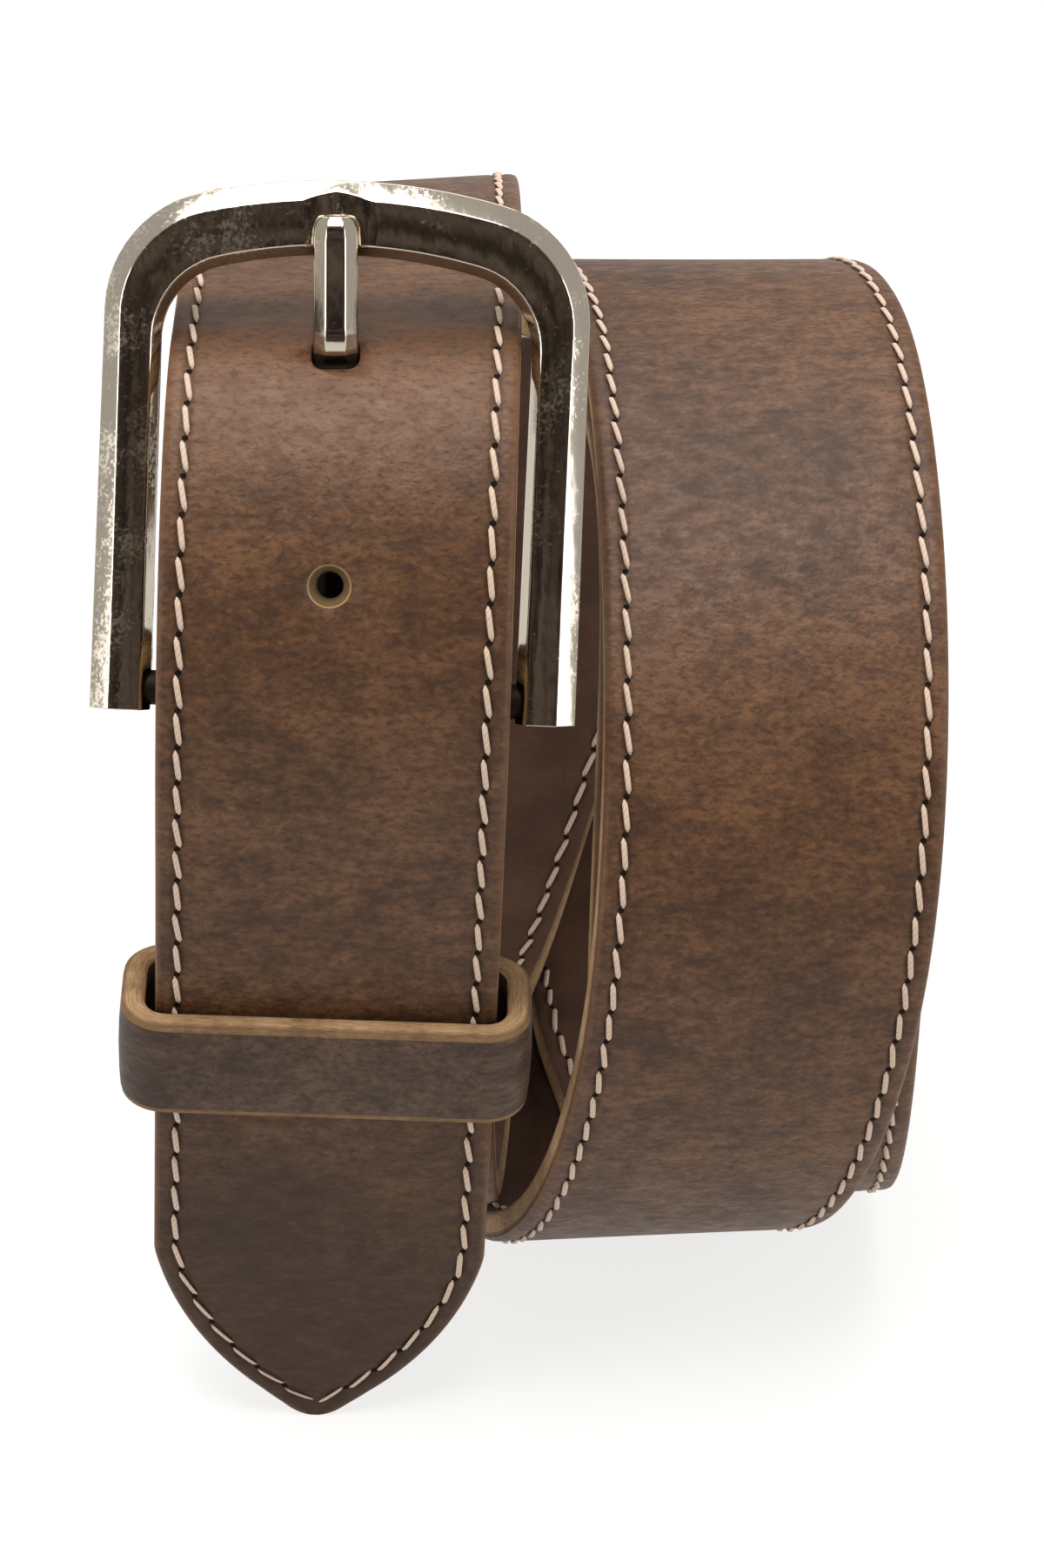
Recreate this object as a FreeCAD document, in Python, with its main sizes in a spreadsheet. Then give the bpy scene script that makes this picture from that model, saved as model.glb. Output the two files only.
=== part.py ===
import FreeCAD, Part
import math
import os

from FreeCAD import Matrix, Placement, Rotation, Vector

# Leather belt, buckled and folded into three turns that stand on edge like a wheel.
# Row frame in millimetres: +Z up, -Y towards the buckle side, X across the strap,
# origin at the bottom centre of the whole belt's box.

doc = FreeCAD.newDocument("leather_belt")
sheet = doc.addObject("Spreadsheet::Sheet", "driving_dimensions")

DIMENSIONS = [
    ("strap_width", 35.0, "width of the strap"),
    ("strap_thickness", 3.5, "thickness of the strap leather"),
    ("layer_gap", 0.8, "air between two layers of strap that lie on each other"),
    ("front_reach", 58.3, "how far the outer face of the front strap stands forward"),
    ("back_reach", 54.5, "how far the outer face of the outermost turn stands back"),
    ("straight_height", 77.3, "height to which the front strap stays straight"),
    ("buckle_top_height", 118.5, "height of the turn that carries the buckle"),
    ("buckle_top_depth", -28.5, "where along Y that turn is highest"),
    ("plain_top_height", 103.3, "height of the two turns beside it"),
    ("plain_top_depth", -6.5, "where along Y those turns are highest"),
    ("plain_front_height", 55.3, "height at which those turns stand furthest forward"),
    ("rest_front", -15.2, "front end of the flat stretch that rests on the floor"),
    ("rest_back", 6.0, "back end of that stretch"),
    ("point_length", 22.3, "length of the tapered point of the strap"),
    ("first_hole", 104.0, "distance from the point to the first prong hole"),
    ("hole_spacing", 25.0, "distance between prong holes"),
    ("hole_diameter", 4.0, "diameter of a prong hole"),
    ("heel_angle", 17.2, "angle on the front curve at which the heel bar lies"),
    ("buckle_lean", 29.4, "angle of the buckle frame back from upright"),
    ("heel_bar_diameter", 3.5, "diameter of the heel bar"),
    ("fold_clearance", 0.25, "air between the heel bar and the leather round it"),
    ("frame_half_width", 24.4, "half the outer width of the buckle frame"),
    ("frame_leg_width", 6.1, "width of a leg of the frame"),
    ("frame_thickness", 5.0, "thickness of the frame"),
    ("frame_crown", 51.3, "heel bar axis to the far edge of the front bar"),
    ("front_bar_width", 7.4, "width of the front bar at its middle"),
    ("frame_chamfer", 1.4, "size of the bevels along the face of the frame"),
    ("prong_width", 4.4, "width of the prong"),
    ("prong_height", 3.2, "thickness of the prong"),
    ("prong_length", 48.9, "heel bar axis to the prong's end"),
    ("prong_ring_radius", 3.5, "outer radius of the prong's ring"),
    ("prong_bevel", 1.2, "size of the bevels along the prong"),
    ("keeper_height", 11.8, "height of the keeper loop"),
    ("keeper_middle", 49.4, "height of the keeper loop's middle above the floor"),
    ("keeper_leather", 2.5, "thickness of the keeper leather"),
    ("keeper_inner_width", 37.2, "inner width of the keeper loop"),
    ("keeper_inner_depth", 9.4, "inner depth of the keeper loop"),
    ("tab_end_height", 61.0, "height of the end of the folded tab"),
    ("rivet_head_diameter", 7.0, "diameter of the rivet heads"),
    ("rivet_post_diameter", 3.0, "diameter of the rivet posts"),
]
for row, (alias, value, meaning) in enumerate(DIMENSIONS, start=1):
    sheet.set("A%d" % row, alias)
    sheet.set("B%d" % row, str(value))
    sheet.set("C%d" % row, meaning)
    sheet.setAlias("B%d" % row, alias)
doc.recompute()


def dim(alias):
    """A driving dimension read back from the sheet."""
    return float(sheet.get(alias))


def bound(expression):
    """An expression that reads the sheet: names in braces become cell references."""
    names = {alias: "driving_dimensions." + alias for alias, _, _ in DIMENSIONS}
    return expression.format(**names)


THICK = dim("strap_thickness")
LAYER = THICK + dim("layer_gap")
HALF = dim("strap_width") / 2
FRONT = -dim("front_reach")
BACK = dim("back_reach")
# Extra air between the turns at the back, where nothing presses them together.
BACK_SLACK = 0.7

# ---------------------------------------------------------------- the strap's route
# Each station is where the outer face of the strap runs level or upright: across (x), along (y),
# height (z), twist in degrees, and how the strap leaves it: "straight", "upright" or "level".
# Between stations the strap follows a quarter of an ellipse.
ROUTE = [
    (-22.5, FRONT, 0.0, 0, "straight"),
    (-19.2, FRONT, dim("straight_height"), 0, "upright"),
    (-17.6, dim("buckle_top_depth"), dim("buckle_top_height"), 0, "level"),
    (-16.8, BACK, 64.0, 8.0, "upright"),
    (2.2, dim("rest_back"), 0.0, 0, "straight"),
    (7.6, dim("rest_front"), 0.0, 0, "level"),
    (24.1, FRONT, dim("plain_front_height"), -8.0, "upright"),
    (24.1, dim("plain_top_depth"), dim("plain_top_height"), 0, "level"),
    (13.0, BACK - LAYER - BACK_SLACK, 61.0, 0, "upright"),
    (18.6, dim("rest_back"), LAYER, 0, "straight"),
    (22.4, dim("rest_front"), LAYER, 0, "level"),
    (24.4, FRONT + LAYER, dim("plain_front_height"), -8.0, "upright"),
    (23.6, dim("plain_top_depth"), dim("plain_top_height") - LAYER, 0, "level"),
    (3.0, BACK - 2 * (LAYER + BACK_SLACK), 58.0, 0, "upright"),
    (-16.5, dim("rest_back"), 2 * LAYER, 0, "straight"),
    (-18.5, dim("rest_front") + 2, 2 * LAYER, 0, "level"),
    (-20.4, FRONT + LAYER, 36.0, 0, "straight"),
    (-19.4, FRONT + LAYER, dim("straight_height"), 0, "upright"),
    (-17.0, dim("buckle_top_depth"), dim("buckle_top_height") - LAYER, 0, "level"),
]
BUCKLE_TOP, PLAIN_TOP, INNER_TOP, INNER_FRONT, HEEL_RUN = 2, 7, 12, 16, 17


def side_view(run, part):
    """Y and Z of the outer face, part of the way (0 to 1) from station run to the next."""
    _, y0, z0, _, leaves = ROUTE[run]
    _, y1, z1, _, _ = ROUTE[run + 1]
    if leaves == "straight":
        return y0 + (y1 - y0) * part, z0 + (z1 - z0) * part
    turn = math.radians(90 * part)
    if leaves == "upright":
        return y0 + (y1 - y0) * (1 - math.cos(turn)), z0 + (z1 - z0) * math.sin(turn)
    return y0 + (y1 - y0) * math.sin(turn), z0 + (z1 - z0) * (1 - math.cos(turn))


def speed(run, part):
    """Length of strap per unit of part, seen from the side."""
    step = 1e-4
    y0, z0 = side_view(run, part - step)
    y1, z1 = side_view(run, part + step)
    return math.hypot(y1 - y0, z1 - z0) / (2 * step)


def run_length(run, steps=40):
    return sum(speed(run, (i + 0.5) / steps) for i in range(steps)) / steps


LENGTHS = [run_length(run) for run in range(len(ROUTE) - 1)]


def station_slope(station):
    """Change of x per millimetre of strap at a station."""
    first = max(station - 1, 0)
    last = min(station + 1, len(ROUTE) - 1)
    return (ROUTE[last][0] - ROUTE[first][0]) / sum(LENGTHS[first:last])


def eased_x(run, part):
    """How far across the strap's middle is, eased from one station to the next."""
    slope0 = station_slope(run) * speed(run, 0.0)
    slope1 = station_slope(run + 1) * speed(run, 1.0)
    square, cube = part ** 2, part ** 3
    return (ROUTE[run][0] * (2 * cube - 3 * square + 1) + slope0 * (cube - 2 * square + part)
            + ROUTE[run + 1][0] * (3 * square - 2 * cube) + slope1 * (cube - square))


def eased_twist(run, part):
    """Twist of the strap about its own line, level at every station."""
    before, after = ROUTE[run][3], ROUTE[run + 1][3]
    return before + (after - before) * (3 * part ** 2 - 2 * part ** 3)


def centre(run, part):
    y, z = side_view(run, part)
    return Vector(eased_x(run, part), y, z)


def strap_frame(run, part):
    """Middle of the outer face with its directions: across, along and outward."""
    step = 1e-3
    along = (centre(run, part + step) - centre(run, part - step)).normalize()
    across = (Vector(1, 0, 0) - along * along.x).normalize()
    outward = across.cross(along)
    twist = math.radians(eased_twist(run, part))
    across, outward = (across * math.cos(twist) + outward * math.sin(twist),
                       outward * math.cos(twist) - across * math.sin(twist))
    return centre(run, part), across, along, outward


def stations_between(first, last):
    """Places (run, part) from first to last, close enough to draw the strap smoothly."""
    places = []
    for run in range(int(first[0]), int(last[0]) + 1):
        steps = 3 if ROUTE[run][4] == "straight" else 9
        begin = first[1] if run == first[0] else 0.0
        end = last[1] if run == last[0] else 1.0
        if end <= begin:
            continue
        count = max(2, int(math.ceil(steps * (end - begin))))
        for i in range(count + 1):
            if i == 0 and places:
                continue
            places.append((run, begin + (end - begin) * i / count))
    return places


def place_at(first_run, distance):
    """The place (run, part) that lies a length of strap beyond station first_run."""
    run = first_run
    while distance > LENGTHS[run]:
        distance -= LENGTHS[run]
        run += 1
    part, steps = 0.0, 400
    for i in range(steps):
        distance -= speed(run, (i + 0.5) / steps) / steps
        if distance <= 0:
            break
        part = (i + 1) / steps
    return run, part


def ruled(first_curve, second_curve):
    """The surface of straight lines between two curves that share their knots."""
    surface = Part.BSplineSurface()
    poles = [list(pair) for pair in zip(first_curve.getPoles(), second_curve.getPoles())]
    surface.buildFromPolesMultsKnots(poles, first_curve.getMultiplicities(), [2, 2],
                                     first_curve.getKnots(), [0.0, 1.0], False, False,
                                     first_curve.Degree, 1)
    return surface.toShape()


# The sides of a ribbon are made of several faces, each spanning this many places.
PLACES_PER_FACE = 4


def ribbon(first, last, depth=0.0, thickness=THICK):
    """A solid length of strap whose outer face lies depth below the route."""
    places = stations_between(first, last)
    corners = [[], [], [], []]
    for run, part in places:
        middle, across, _, outward = strap_frame(run, part)
        for index, (side, down) in enumerate([(-1, 0), (1, 0), (1, 1), (-1, 1)]):
            offset = across * (side * HALF) - outward * (depth + down * thickness)
            corners[index].append(middle + offset)
    distances = [0.0]
    for before, after in zip(places, places[1:]):
        distances.append(distances[-1] + (centre(*after) - centre(*before)).Length)
    curves = []
    for points in corners:
        curve = Part.BSplineCurve()
        curve.interpolate(Points=points, Parameters=distances)
        curves.append(curve)
    faces = []
    breaks = list(range(0, len(places) - 2, PLACES_PER_FACE)) + [len(places) - 1]
    for start, end in zip(breaks, breaks[1:]):
        spans = [curve.copy() for curve in curves]
        for span in spans:
            span.segment(distances[start], distances[end])
        faces += [ruled(spans[i], spans[(i + 1) % 4]) for i in range(4)]
    for end in (0, -1):
        loop = [corners[i][end] for i in range(4)]
        faces.append(Part.Face(Part.makePolygon(loop + loop[:1])))
    shell = Part.makeShell(faces)
    shell.sewShape()
    solid = Part.makeSolid(shell)
    if solid.Volume < 0:
        solid.reverse()
    return solid


def axes_placement(origin, x_axis, y_axis, z_axis):
    matrix = Matrix(x_axis.x, y_axis.x, z_axis.x, origin.x,
                    x_axis.y, y_axis.y, z_axis.y, origin.y,
                    x_axis.z, y_axis.z, z_axis.z, origin.z, 0, 0, 0, 1)
    return Placement(matrix)


def feature(name, shape):
    """A free-form piece whose shape is made with Part's own functions."""
    piece = doc.addObject("Part::Feature", name)
    piece.Label = name
    piece.Shape = shape
    return piece


# ---------------------------------------------------------------- where the buckle sits
HEEL_PART = dim("heel_angle") / 90
BAR_RADIUS = dim("heel_bar_diameter") / 2
FOLD_RADIUS = BAR_RADIUS + dim("fold_clearance")
foot, ACROSS, foot_along, foot_out = strap_frame(HEEL_RUN, HEEL_PART)
HEEL = foot - foot_out * (THICK + FOLD_RADIUS)
lean = math.radians(dim("buckle_lean"))
up_frame = Vector(0, math.sin(lean), math.cos(lean))
FRAME_UP = (up_frame - ACROSS * up_frame.dot(ACROSS)).normalize()
FRAME_OUT = ACROSS.cross(FRAME_UP)
FRAME_PLACE = axes_placement(HEEL, ACROSS, FRAME_UP, FRAME_OUT)

# The prong leaves the heel bar a little steeper than the frame, because it rests on the front bar.
# It is also bent sideways, so that its end lies left of the frame's middle.
PRONG_SKEW = 2.0
PRONG_OFFSET = 0.2
SHANK_OFFSET = 0.9
BAR_MIDDLE = dim("frame_crown") - dim("front_bar_width") / 2
NOTCH_DEPTH = 0.8
REST_GAP = 0.3
prong_rise = (dim("frame_thickness") / 2 - NOTCH_DEPTH + REST_GAP + dim("prong_height") / 2
              - SHANK_OFFSET)
PRONG_ANGLE = math.degrees(math.atan2(prong_rise, BAR_MIDDLE))
tilt = math.radians(PRONG_ANGLE)
PRONG_UP = FRAME_UP * math.cos(tilt) + FRAME_OUT * math.sin(tilt)
PRONG_OUT = ACROSS.cross(PRONG_UP)
skew = math.radians(PRONG_SKEW)
PRONG_ACROSS = ACROSS * math.cos(skew) + PRONG_UP * math.sin(skew)
PRONG_UP = PRONG_UP * math.cos(skew) - ACROSS * math.sin(skew)
PRONG_PLACE = axes_placement(HEEL + ACROSS * PRONG_OFFSET, PRONG_ACROSS, PRONG_UP, PRONG_OUT)

# ---------------------------------------------------------------- strap, tip run
TIP_ORIGIN, tip_across, tip_along, tip_out = strap_frame(0, 0.0)
POINT = dim("point_length")


def point_outline():
    """Everything outside the point: its two curved shoulders and rounded end, then a wide band."""
    shoulder, belly, nose = (HALF, POINT), (12.4, 10.4), (3.4, 1.35)
    beside, beyond, above = HALF + 15, -5, 5
    corner = (beside, POINT + 0.001)

    def at(x, y):
        return TIP_ORIGIN + tip_across * x + tip_along * y + tip_out * above

    edges = [
        Part.Arc(at(-shoulder[0], shoulder[1]), at(-belly[0], belly[1]), at(-nose[0], nose[1])),
        Part.Arc(at(-nose[0], nose[1]), at(0, 0), at(*nose)),
        Part.Arc(at(*nose), at(*belly), at(*shoulder)),
        Part.LineSegment(at(*shoulder), at(*corner)),
        Part.LineSegment(at(*corner), at(beside, beyond)),
        Part.LineSegment(at(beside, beyond), at(-beside, beyond)),
        Part.LineSegment(at(-beside, beyond), at(-corner[0], corner[1])),
        Part.LineSegment(at(-corner[0], corner[1]), at(-shoulder[0], shoulder[1])),
    ]
    return Part.Face(Part.Wire([edge.toShape() for edge in edges]))


# The holes are punched a little left of the strap's middle.
HOLE_SHIFT = -0.6


def hole_axis(distance):
    """Where a hole at a distance from the strap's point meets the outer face, and its direction."""
    middle, across, _, outward = strap_frame(*place_at(0, distance))
    return middle + across * HOLE_SHIFT, outward


def hole_cutter(distance):
    """A drill through the strap at a distance from its point."""
    mouth, outward = hole_axis(distance)
    return Part.makeCylinder(dim("hole_diameter") / 2, 3 * THICK, mouth + outward * THICK,
                             outward * -1)


def prong_slot():
    """The stretched hole that the prong goes through, cut along the prong."""
    side, inner, outer = 0.3, 0.5, 1.2
    start, length = 20, 25
    width = dim("prong_width") + 2 * side
    height = dim("prong_height") + inner + outer
    low = SHANK_OFFSET - dim("prong_height") / 2 - inner
    slot = Part.makeBox(width, length, height, Vector(-width / 2, start, low))
    return slot.transformed(PRONG_PLACE.Matrix)


# Five holes: the prong is in the second, and the first is free on this run.
HOLES = [dim("first_hole") + i * dim("hole_spacing") for i in range(5)]
THROUGH = 12
billet = ribbon((0, 0.0), (BUCKLE_TOP - 1, 1.0))
billet = billet.cut(point_outline().extrude(tip_out * -THROUGH))
billet = billet.cut(hole_cutter(HOLES[0])).cut(prong_slot())
feature("strap_tip_run", billet.Solids[0])

# ---------------------------------------------------------------- strap, the three turns
outer_turn = ribbon((BUCKLE_TOP, 0.0), (PLAIN_TOP - 1, 1.0))
for distance in HOLES[2:]:
    outer_turn = outer_turn.cut(hole_cutter(distance))
# The edge that rests on the floor is pressed flat by this much.
FLATTENED = 0.06
floor_slab = Part.makeBox(400, 400, 20, Vector(-200, -200, FLATTENED - 20))
outer_turn = outer_turn.cut(floor_slab)
feature("strap_outer_turn", outer_turn.Solids[0])
feature("strap_middle_turn", ribbon((PLAIN_TOP, 0.0), (INNER_TOP - 1, 1.0)))

# The fold: a tab lies behind the front layer, FOLD_GAP away from it.
FOLD_GAP = 0.4
JOINT_BELOW_TAB = 3
RIVET_HEIGHTS = (65.5, 73.0)
straight = dim("straight_height") - ROUTE[INNER_FRONT][2]
tab_end_part = (dim("tab_end_height") - ROUTE[INNER_FRONT][2]) / straight
chape_part = tab_end_part - JOINT_BELOW_TAB / straight
feature("strap_inner_turn", ribbon((INNER_TOP, 0.0), (INNER_FRONT, chape_part)))


# ---------------------------------------------------------------- strap, the fold round the heel bar
def tangent_from(circle_radius, x, y, side):
    """Touch point on a circle round the origin of the line from (x, y)."""
    reach = math.hypot(x, y)
    angle = math.atan2(y, x) + side * math.acos(circle_radius / reach)
    return circle_radius * math.cos(angle), circle_radius * math.sin(angle)


def fold_loop(tab_place):
    """The U-turn over the heel bar, from the front layer to the start of the tab."""
    outer = FOLD_RADIUS + THICK
    middle, _, _, outward = strap_frame(*tab_place)
    tab_outer = middle - outward * (THICK + FOLD_GAP)
    tab_inner = tab_outer - outward * THICK

    def local(point):
        arm = point - HEEL
        return arm.dot(foot_out), arm.dot(foot_along)

    def at(pair):
        return HEEL + foot_out * pair[0] + foot_along * pair[1] - ACROSS * HALF

    near, far = local(tab_outer), local(tab_inner)
    inner_touch = tangent_from(FOLD_RADIUS, near[0], near[1], -1)
    outer_touch = tangent_from(outer, far[0], far[1], -1)
    wire = Part.Wire([edge.toShape() for edge in [
        Part.Arc(at((FOLD_RADIUS, 0)), at((0, FOLD_RADIUS)), at(inner_touch)),
        Part.LineSegment(at(inner_touch), at(near)),
        Part.LineSegment(at(near), at(far)),
        Part.LineSegment(at(far), at(outer_touch)),
        Part.Arc(at(outer_touch), at((0, outer)), at((outer, 0))),
        Part.LineSegment(at((outer, 0)), at((FOLD_RADIUS, 0))),
    ]])
    return Part.Face(wire).extrude(ACROSS * (2 * HALF))


def fold_slot():
    """Room for the prong's ring in the middle of the fold."""
    width, reach = dim("prong_width") + 1.0, 6.5
    slot = Part.makeBox(width, 2 * reach, 2 * reach, Vector(-width / 2, -reach, -reach))
    return slot.transformed(axes_placement(HEEL, ACROSS, foot_along, foot_out).Matrix)


TAB_PLACE = (INNER_FRONT, 1.0)
tab = ribbon((INNER_FRONT, tab_end_part), TAB_PLACE, THICK + FOLD_GAP)
front_layer = ribbon((INNER_FRONT, chape_part), (HEEL_RUN, HEEL_PART))
RIVET_PLACES = [(INNER_FRONT, (height - ROUTE[INNER_FRONT][2]) / straight)
                for height in RIVET_HEIGHTS]


def rivet_axis(place):
    middle, _, _, outward = strap_frame(*place)
    return middle, outward


chape = front_layer.fuse([fold_loop(TAB_PLACE), tab]).removeSplitter()
chape = chape.cut(fold_slot())
for place in RIVET_PLACES:
    middle, outward = rivet_axis(place)
    chape = chape.cut(Part.makeCylinder(dim("rivet_post_diameter") / 2, 5 * THICK,
                                        middle + outward * THICK, outward * -1))
feature("strap_fold", chape.Solids[0])

# ---------------------------------------------------------------- rivets through the fold
STACK = 2 * THICK + FOLD_GAP
HEAD, CAP, CAP_ROUND = 0.5, 1.2, 0.8
posts, caps = [], []
for place in RIVET_PLACES:
    middle, outward = rivet_axis(place)
    inward = outward * -1
    post_radius, head_radius = dim("rivet_post_diameter") / 2, dim("rivet_head_diameter") / 2
    head = Part.makeCylinder(head_radius, HEAD, middle + outward * HEAD, inward)
    post = Part.makeCylinder(post_radius, STACK, middle, inward)
    posts.append(head.fuse(post).removeSplitter().Solids[0])
    cap = Part.makeCylinder(head_radius, CAP, middle + inward * STACK, inward)
    rim = [edge for edge in cap.Edges if (edge.CenterOfMass - middle).dot(inward) > STACK + CAP / 2]
    far_rim = [edge for edge in rim if edge.Closed]
    caps.append(cap.makeFillet(CAP_ROUND, far_rim).Solids[0])
feature("fold_rivet_posts", Part.makeCompound(posts))
feature("fold_rivet_caps", Part.makeCompound(caps))


# ---------------------------------------------------------------- buckle frame
def plane(body, role):
    return next(item for item in body.Origin.OriginFeatures if item.Role == role)


def attached_sketch(body, name, role):
    sketch = body.newObject("Sketcher::SketchObject", name)
    sketch.AttachmentSupport = [(plane(body, role), "")]
    sketch.MapMode = "FlatFace"
    return sketch


frame_body = doc.addObject("PartDesign::Body", "buckle_frame")
frame_body.Label = "buckle_frame"
outline = attached_sketch(frame_body, "frame_outline", "XY_Plane")
outer_x, leg = dim("frame_half_width"), dim("frame_leg_width")
inner_x = outer_x - leg
crown, inner_crown = dim("frame_crown"), dim("frame_crown") - dim("front_bar_width")
FOOT_Y = -2.2
# The legs draw in by this much on each side between the heel bar and the bend.
TAPER = 0.2


def flat(x, y):
    return Vector(x, y, 0)


def arc(start, through, end):
    return Part.Arc(flat(*start), flat(*through), flat(*end))


def line(start, end):
    return Part.LineSegment(flat(*start), flat(*end))


outer_side, outer_bend, outer_top = (outer_x - TAPER, 38.0), (21.3, 45.6), (15.0, 49.5)
inner_side, inner_bend, inner_top = (inner_x + TAPER, 34.6), (17.0, 39.5), (12.5, 42.4)


def mirrored(point):
    return -point[0], point[1]


outline.addGeometry([
    line((outer_x, FOOT_Y), outer_side),
    arc(outer_side, outer_bend, outer_top),
    arc(outer_top, (0, crown), mirrored(outer_top)),
    arc(mirrored(outer_top), mirrored(outer_bend), mirrored(outer_side)),
    line(mirrored(outer_side), (-outer_x, FOOT_Y)),
    line((-outer_x, FOOT_Y), (-inner_x, FOOT_Y)),
    line((-inner_x, FOOT_Y), mirrored(inner_side)),
    arc(mirrored(inner_side), mirrored(inner_bend), mirrored(inner_top)),
    arc(mirrored(inner_top), (0, inner_crown), inner_top),
    arc(inner_top, inner_bend, inner_side),
    line(inner_side, (inner_x, FOOT_Y)),
    line((inner_x, FOOT_Y), (outer_x, FOOT_Y)),
], False)
frame_pad = frame_body.newObject("PartDesign::Pad", "frame_pad")
frame_pad.Profile = outline
frame_pad.Midplane = True
frame_pad.setExpression("Length", bound("{frame_thickness}"))
outline.Visibility = False
doc.recompute()


def edges_where(shape, test):
    return ["Edge%d" % (i + 1) for i, edge in enumerate(shape.Edges) if test(edge)]


half_thick = dim("frame_thickness") / 2


def on_face(edge, height):
    return all(abs(vertex.Point.z - height) < 1e-6 for vertex in edge.Vertexes)


def along_outline(edge):
    return abs(edge.CenterOfMass.y - FOOT_Y) > 1e-3


face_bevel = frame_body.newObject("PartDesign::Chamfer", "face_bevel")
face_bevel.Base = (frame_pad, edges_where(
    frame_pad.Shape, lambda e: on_face(e, half_thick) and along_outline(e)))
face_bevel.setExpression("Size", bound("{frame_chamfer}"))
doc.recompute()
back_bevel = frame_body.newObject("PartDesign::Chamfer", "back_bevel")
back_bevel.Base = (face_bevel, edges_where(
    face_bevel.Shape, lambda e: on_face(e, -half_thick) and along_outline(e)))
back_bevel.Size = 1.0
doc.recompute()

# The groove that the prong rests in, cut across the middle of the front bar. It stops
# short of the bar's outer edge.
GROOVE_STOP = 1.6
groove = attached_sketch(frame_body, "groove_outline", "XZ_Plane")
groove_top, groove_base = 3.0, 2.5
groove_floor, groove_open = half_thick - NOTCH_DEPTH, half_thick + 1
groove_x = PRONG_OFFSET - BAR_MIDDLE * math.sin(skew)
groove_points = [(groove_x - groove_top, groove_open), (groove_x - groove_top, half_thick),
                 (groove_x - groove_base, groove_floor), (groove_x + groove_base, groove_floor),
                 (groove_x + groove_top, half_thick), (groove_x + groove_top, groove_open)]
groove.addGeometry([line(start, end) for start, end
                    in zip(groove_points, groove_points[1:] + groove_points[:1])], False)
groove_cut = frame_body.newObject("PartDesign::Pocket", "groove_cut")
groove_cut.Profile = groove
groove_cut.setExpression("Length", bound("{frame_crown} - %g" % GROOVE_STOP))
doc.recompute()

# Blind holes in the legs that hold the heel bar.
BAR_SINK = 3.5
BAR_LENGTH = bound("2 * ({frame_half_width} - {frame_leg_width} + %g)" % BAR_SINK)
sockets = attached_sketch(frame_body, "bar_sockets", "YZ_Plane")
sockets.addGeometry(Part.Circle(Vector(0, 0, 0), Vector(0, 0, 1), BAR_RADIUS), False)
socket_cut = frame_body.newObject("PartDesign::Pocket", "socket_cut")
socket_cut.Profile = sockets
socket_cut.Midplane = True
socket_cut.setExpression("Length", BAR_LENGTH)
frame_body.Placement = FRAME_PLACE
doc.recompute()

# ---------------------------------------------------------------- heel bar
heel_bar = doc.addObject("Part::Cylinder", "heel_bar")
heel_bar.Label = "heel_bar"
heel_bar.setExpression("Radius", bound("{heel_bar_diameter} / 2"))
heel_bar.setExpression("Height", BAR_LENGTH)
doc.recompute()
heel_bar.Placement = axes_placement(HEEL - ACROSS * (heel_bar.Height.Value / 2),
                                    FRAME_UP, FRAME_OUT, ACROSS)

# ---------------------------------------------------------------- prong
RING_CLEARANCE = 0.15
EYE_LENGTH = 12
TIP_ROUND = 1.3
shank = doc.addObject("Part::Box", "prong_shank")
shank.setExpression("Length", bound("{prong_width}"))
shank.setExpression("Width", bound("{prong_length}"))
shank.setExpression("Height", bound("{prong_height}"))
shank_corner = Vector(-dim("prong_width") / 2, 0, SHANK_OFFSET - dim("prong_height") / 2)
shank.Placement = Placement(shank_corner, Rotation())
doc.recompute()
shank_top = SHANK_OFFSET + dim("prong_height") / 2


def long_top_edge(edge):
    middle = edge.CenterOfMass
    return (edge.Length > 20 and abs(middle.z - shank_top) < 1e-3
            and abs(abs(middle.x) - dim("prong_width") / 2) < 1e-3)


def tip_corner(edge):
    middle = edge.CenterOfMass
    return (abs(middle.y - dim("prong_length")) < 1e-3
            and abs(abs(middle.x) - dim("prong_width") / 2) < 1e-3)


rounded = doc.addObject("Part::Fillet", "prong_rounded")
rounded.Base = shank
rounded.Edges = [(i + 1, TIP_ROUND, TIP_ROUND) for i, edge in enumerate(shank.Shape.Edges)
                 if tip_corner(edge)]
doc.recompute()
bevelled = doc.addObject("Part::Chamfer", "prong_bevelled")
bevelled.Base = rounded
bevel = dim("prong_bevel")
bevelled.Edges = [(i + 1, bevel, bevel) for i, edge in enumerate(rounded.Shape.Edges)
                  if long_top_edge(edge)]

# The ring is bored square to the heel bar; only the shank is bent sideways.
along_bar = Rotation(Vector(0, 0, 1), -PRONG_SKEW).multiply(Rotation(Vector(0, 1, 0), 90))
ring = doc.addObject("Part::Cylinder", "prong_ring")
ring.setExpression("Radius", bound("{prong_ring_radius}"))
ring.setExpression("Height", bound("{prong_width}"))
ring.Placement = Placement(along_bar.multVec(Vector(0, 0, -dim("prong_width") / 2)), along_bar)
blank = doc.addObject("Part::Fuse", "prong_blank")
blank.Base, blank.Tool = ring, bevelled
eye = doc.addObject("Part::Cylinder", "prong_eye")
eye.setExpression("Radius", bound("{heel_bar_diameter} / 2 + %g" % RING_CLEARANCE))
eye.Height = EYE_LENGTH
eye.Placement = Placement(along_bar.multVec(Vector(0, 0, -EYE_LENGTH / 2)), along_bar)
prong = doc.addObject("Part::Cut", "prong")
prong.Label = "prong"
prong.Base, prong.Tool = blank, eye
doc.recompute()
prong.Placement = PRONG_PLACE

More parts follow.
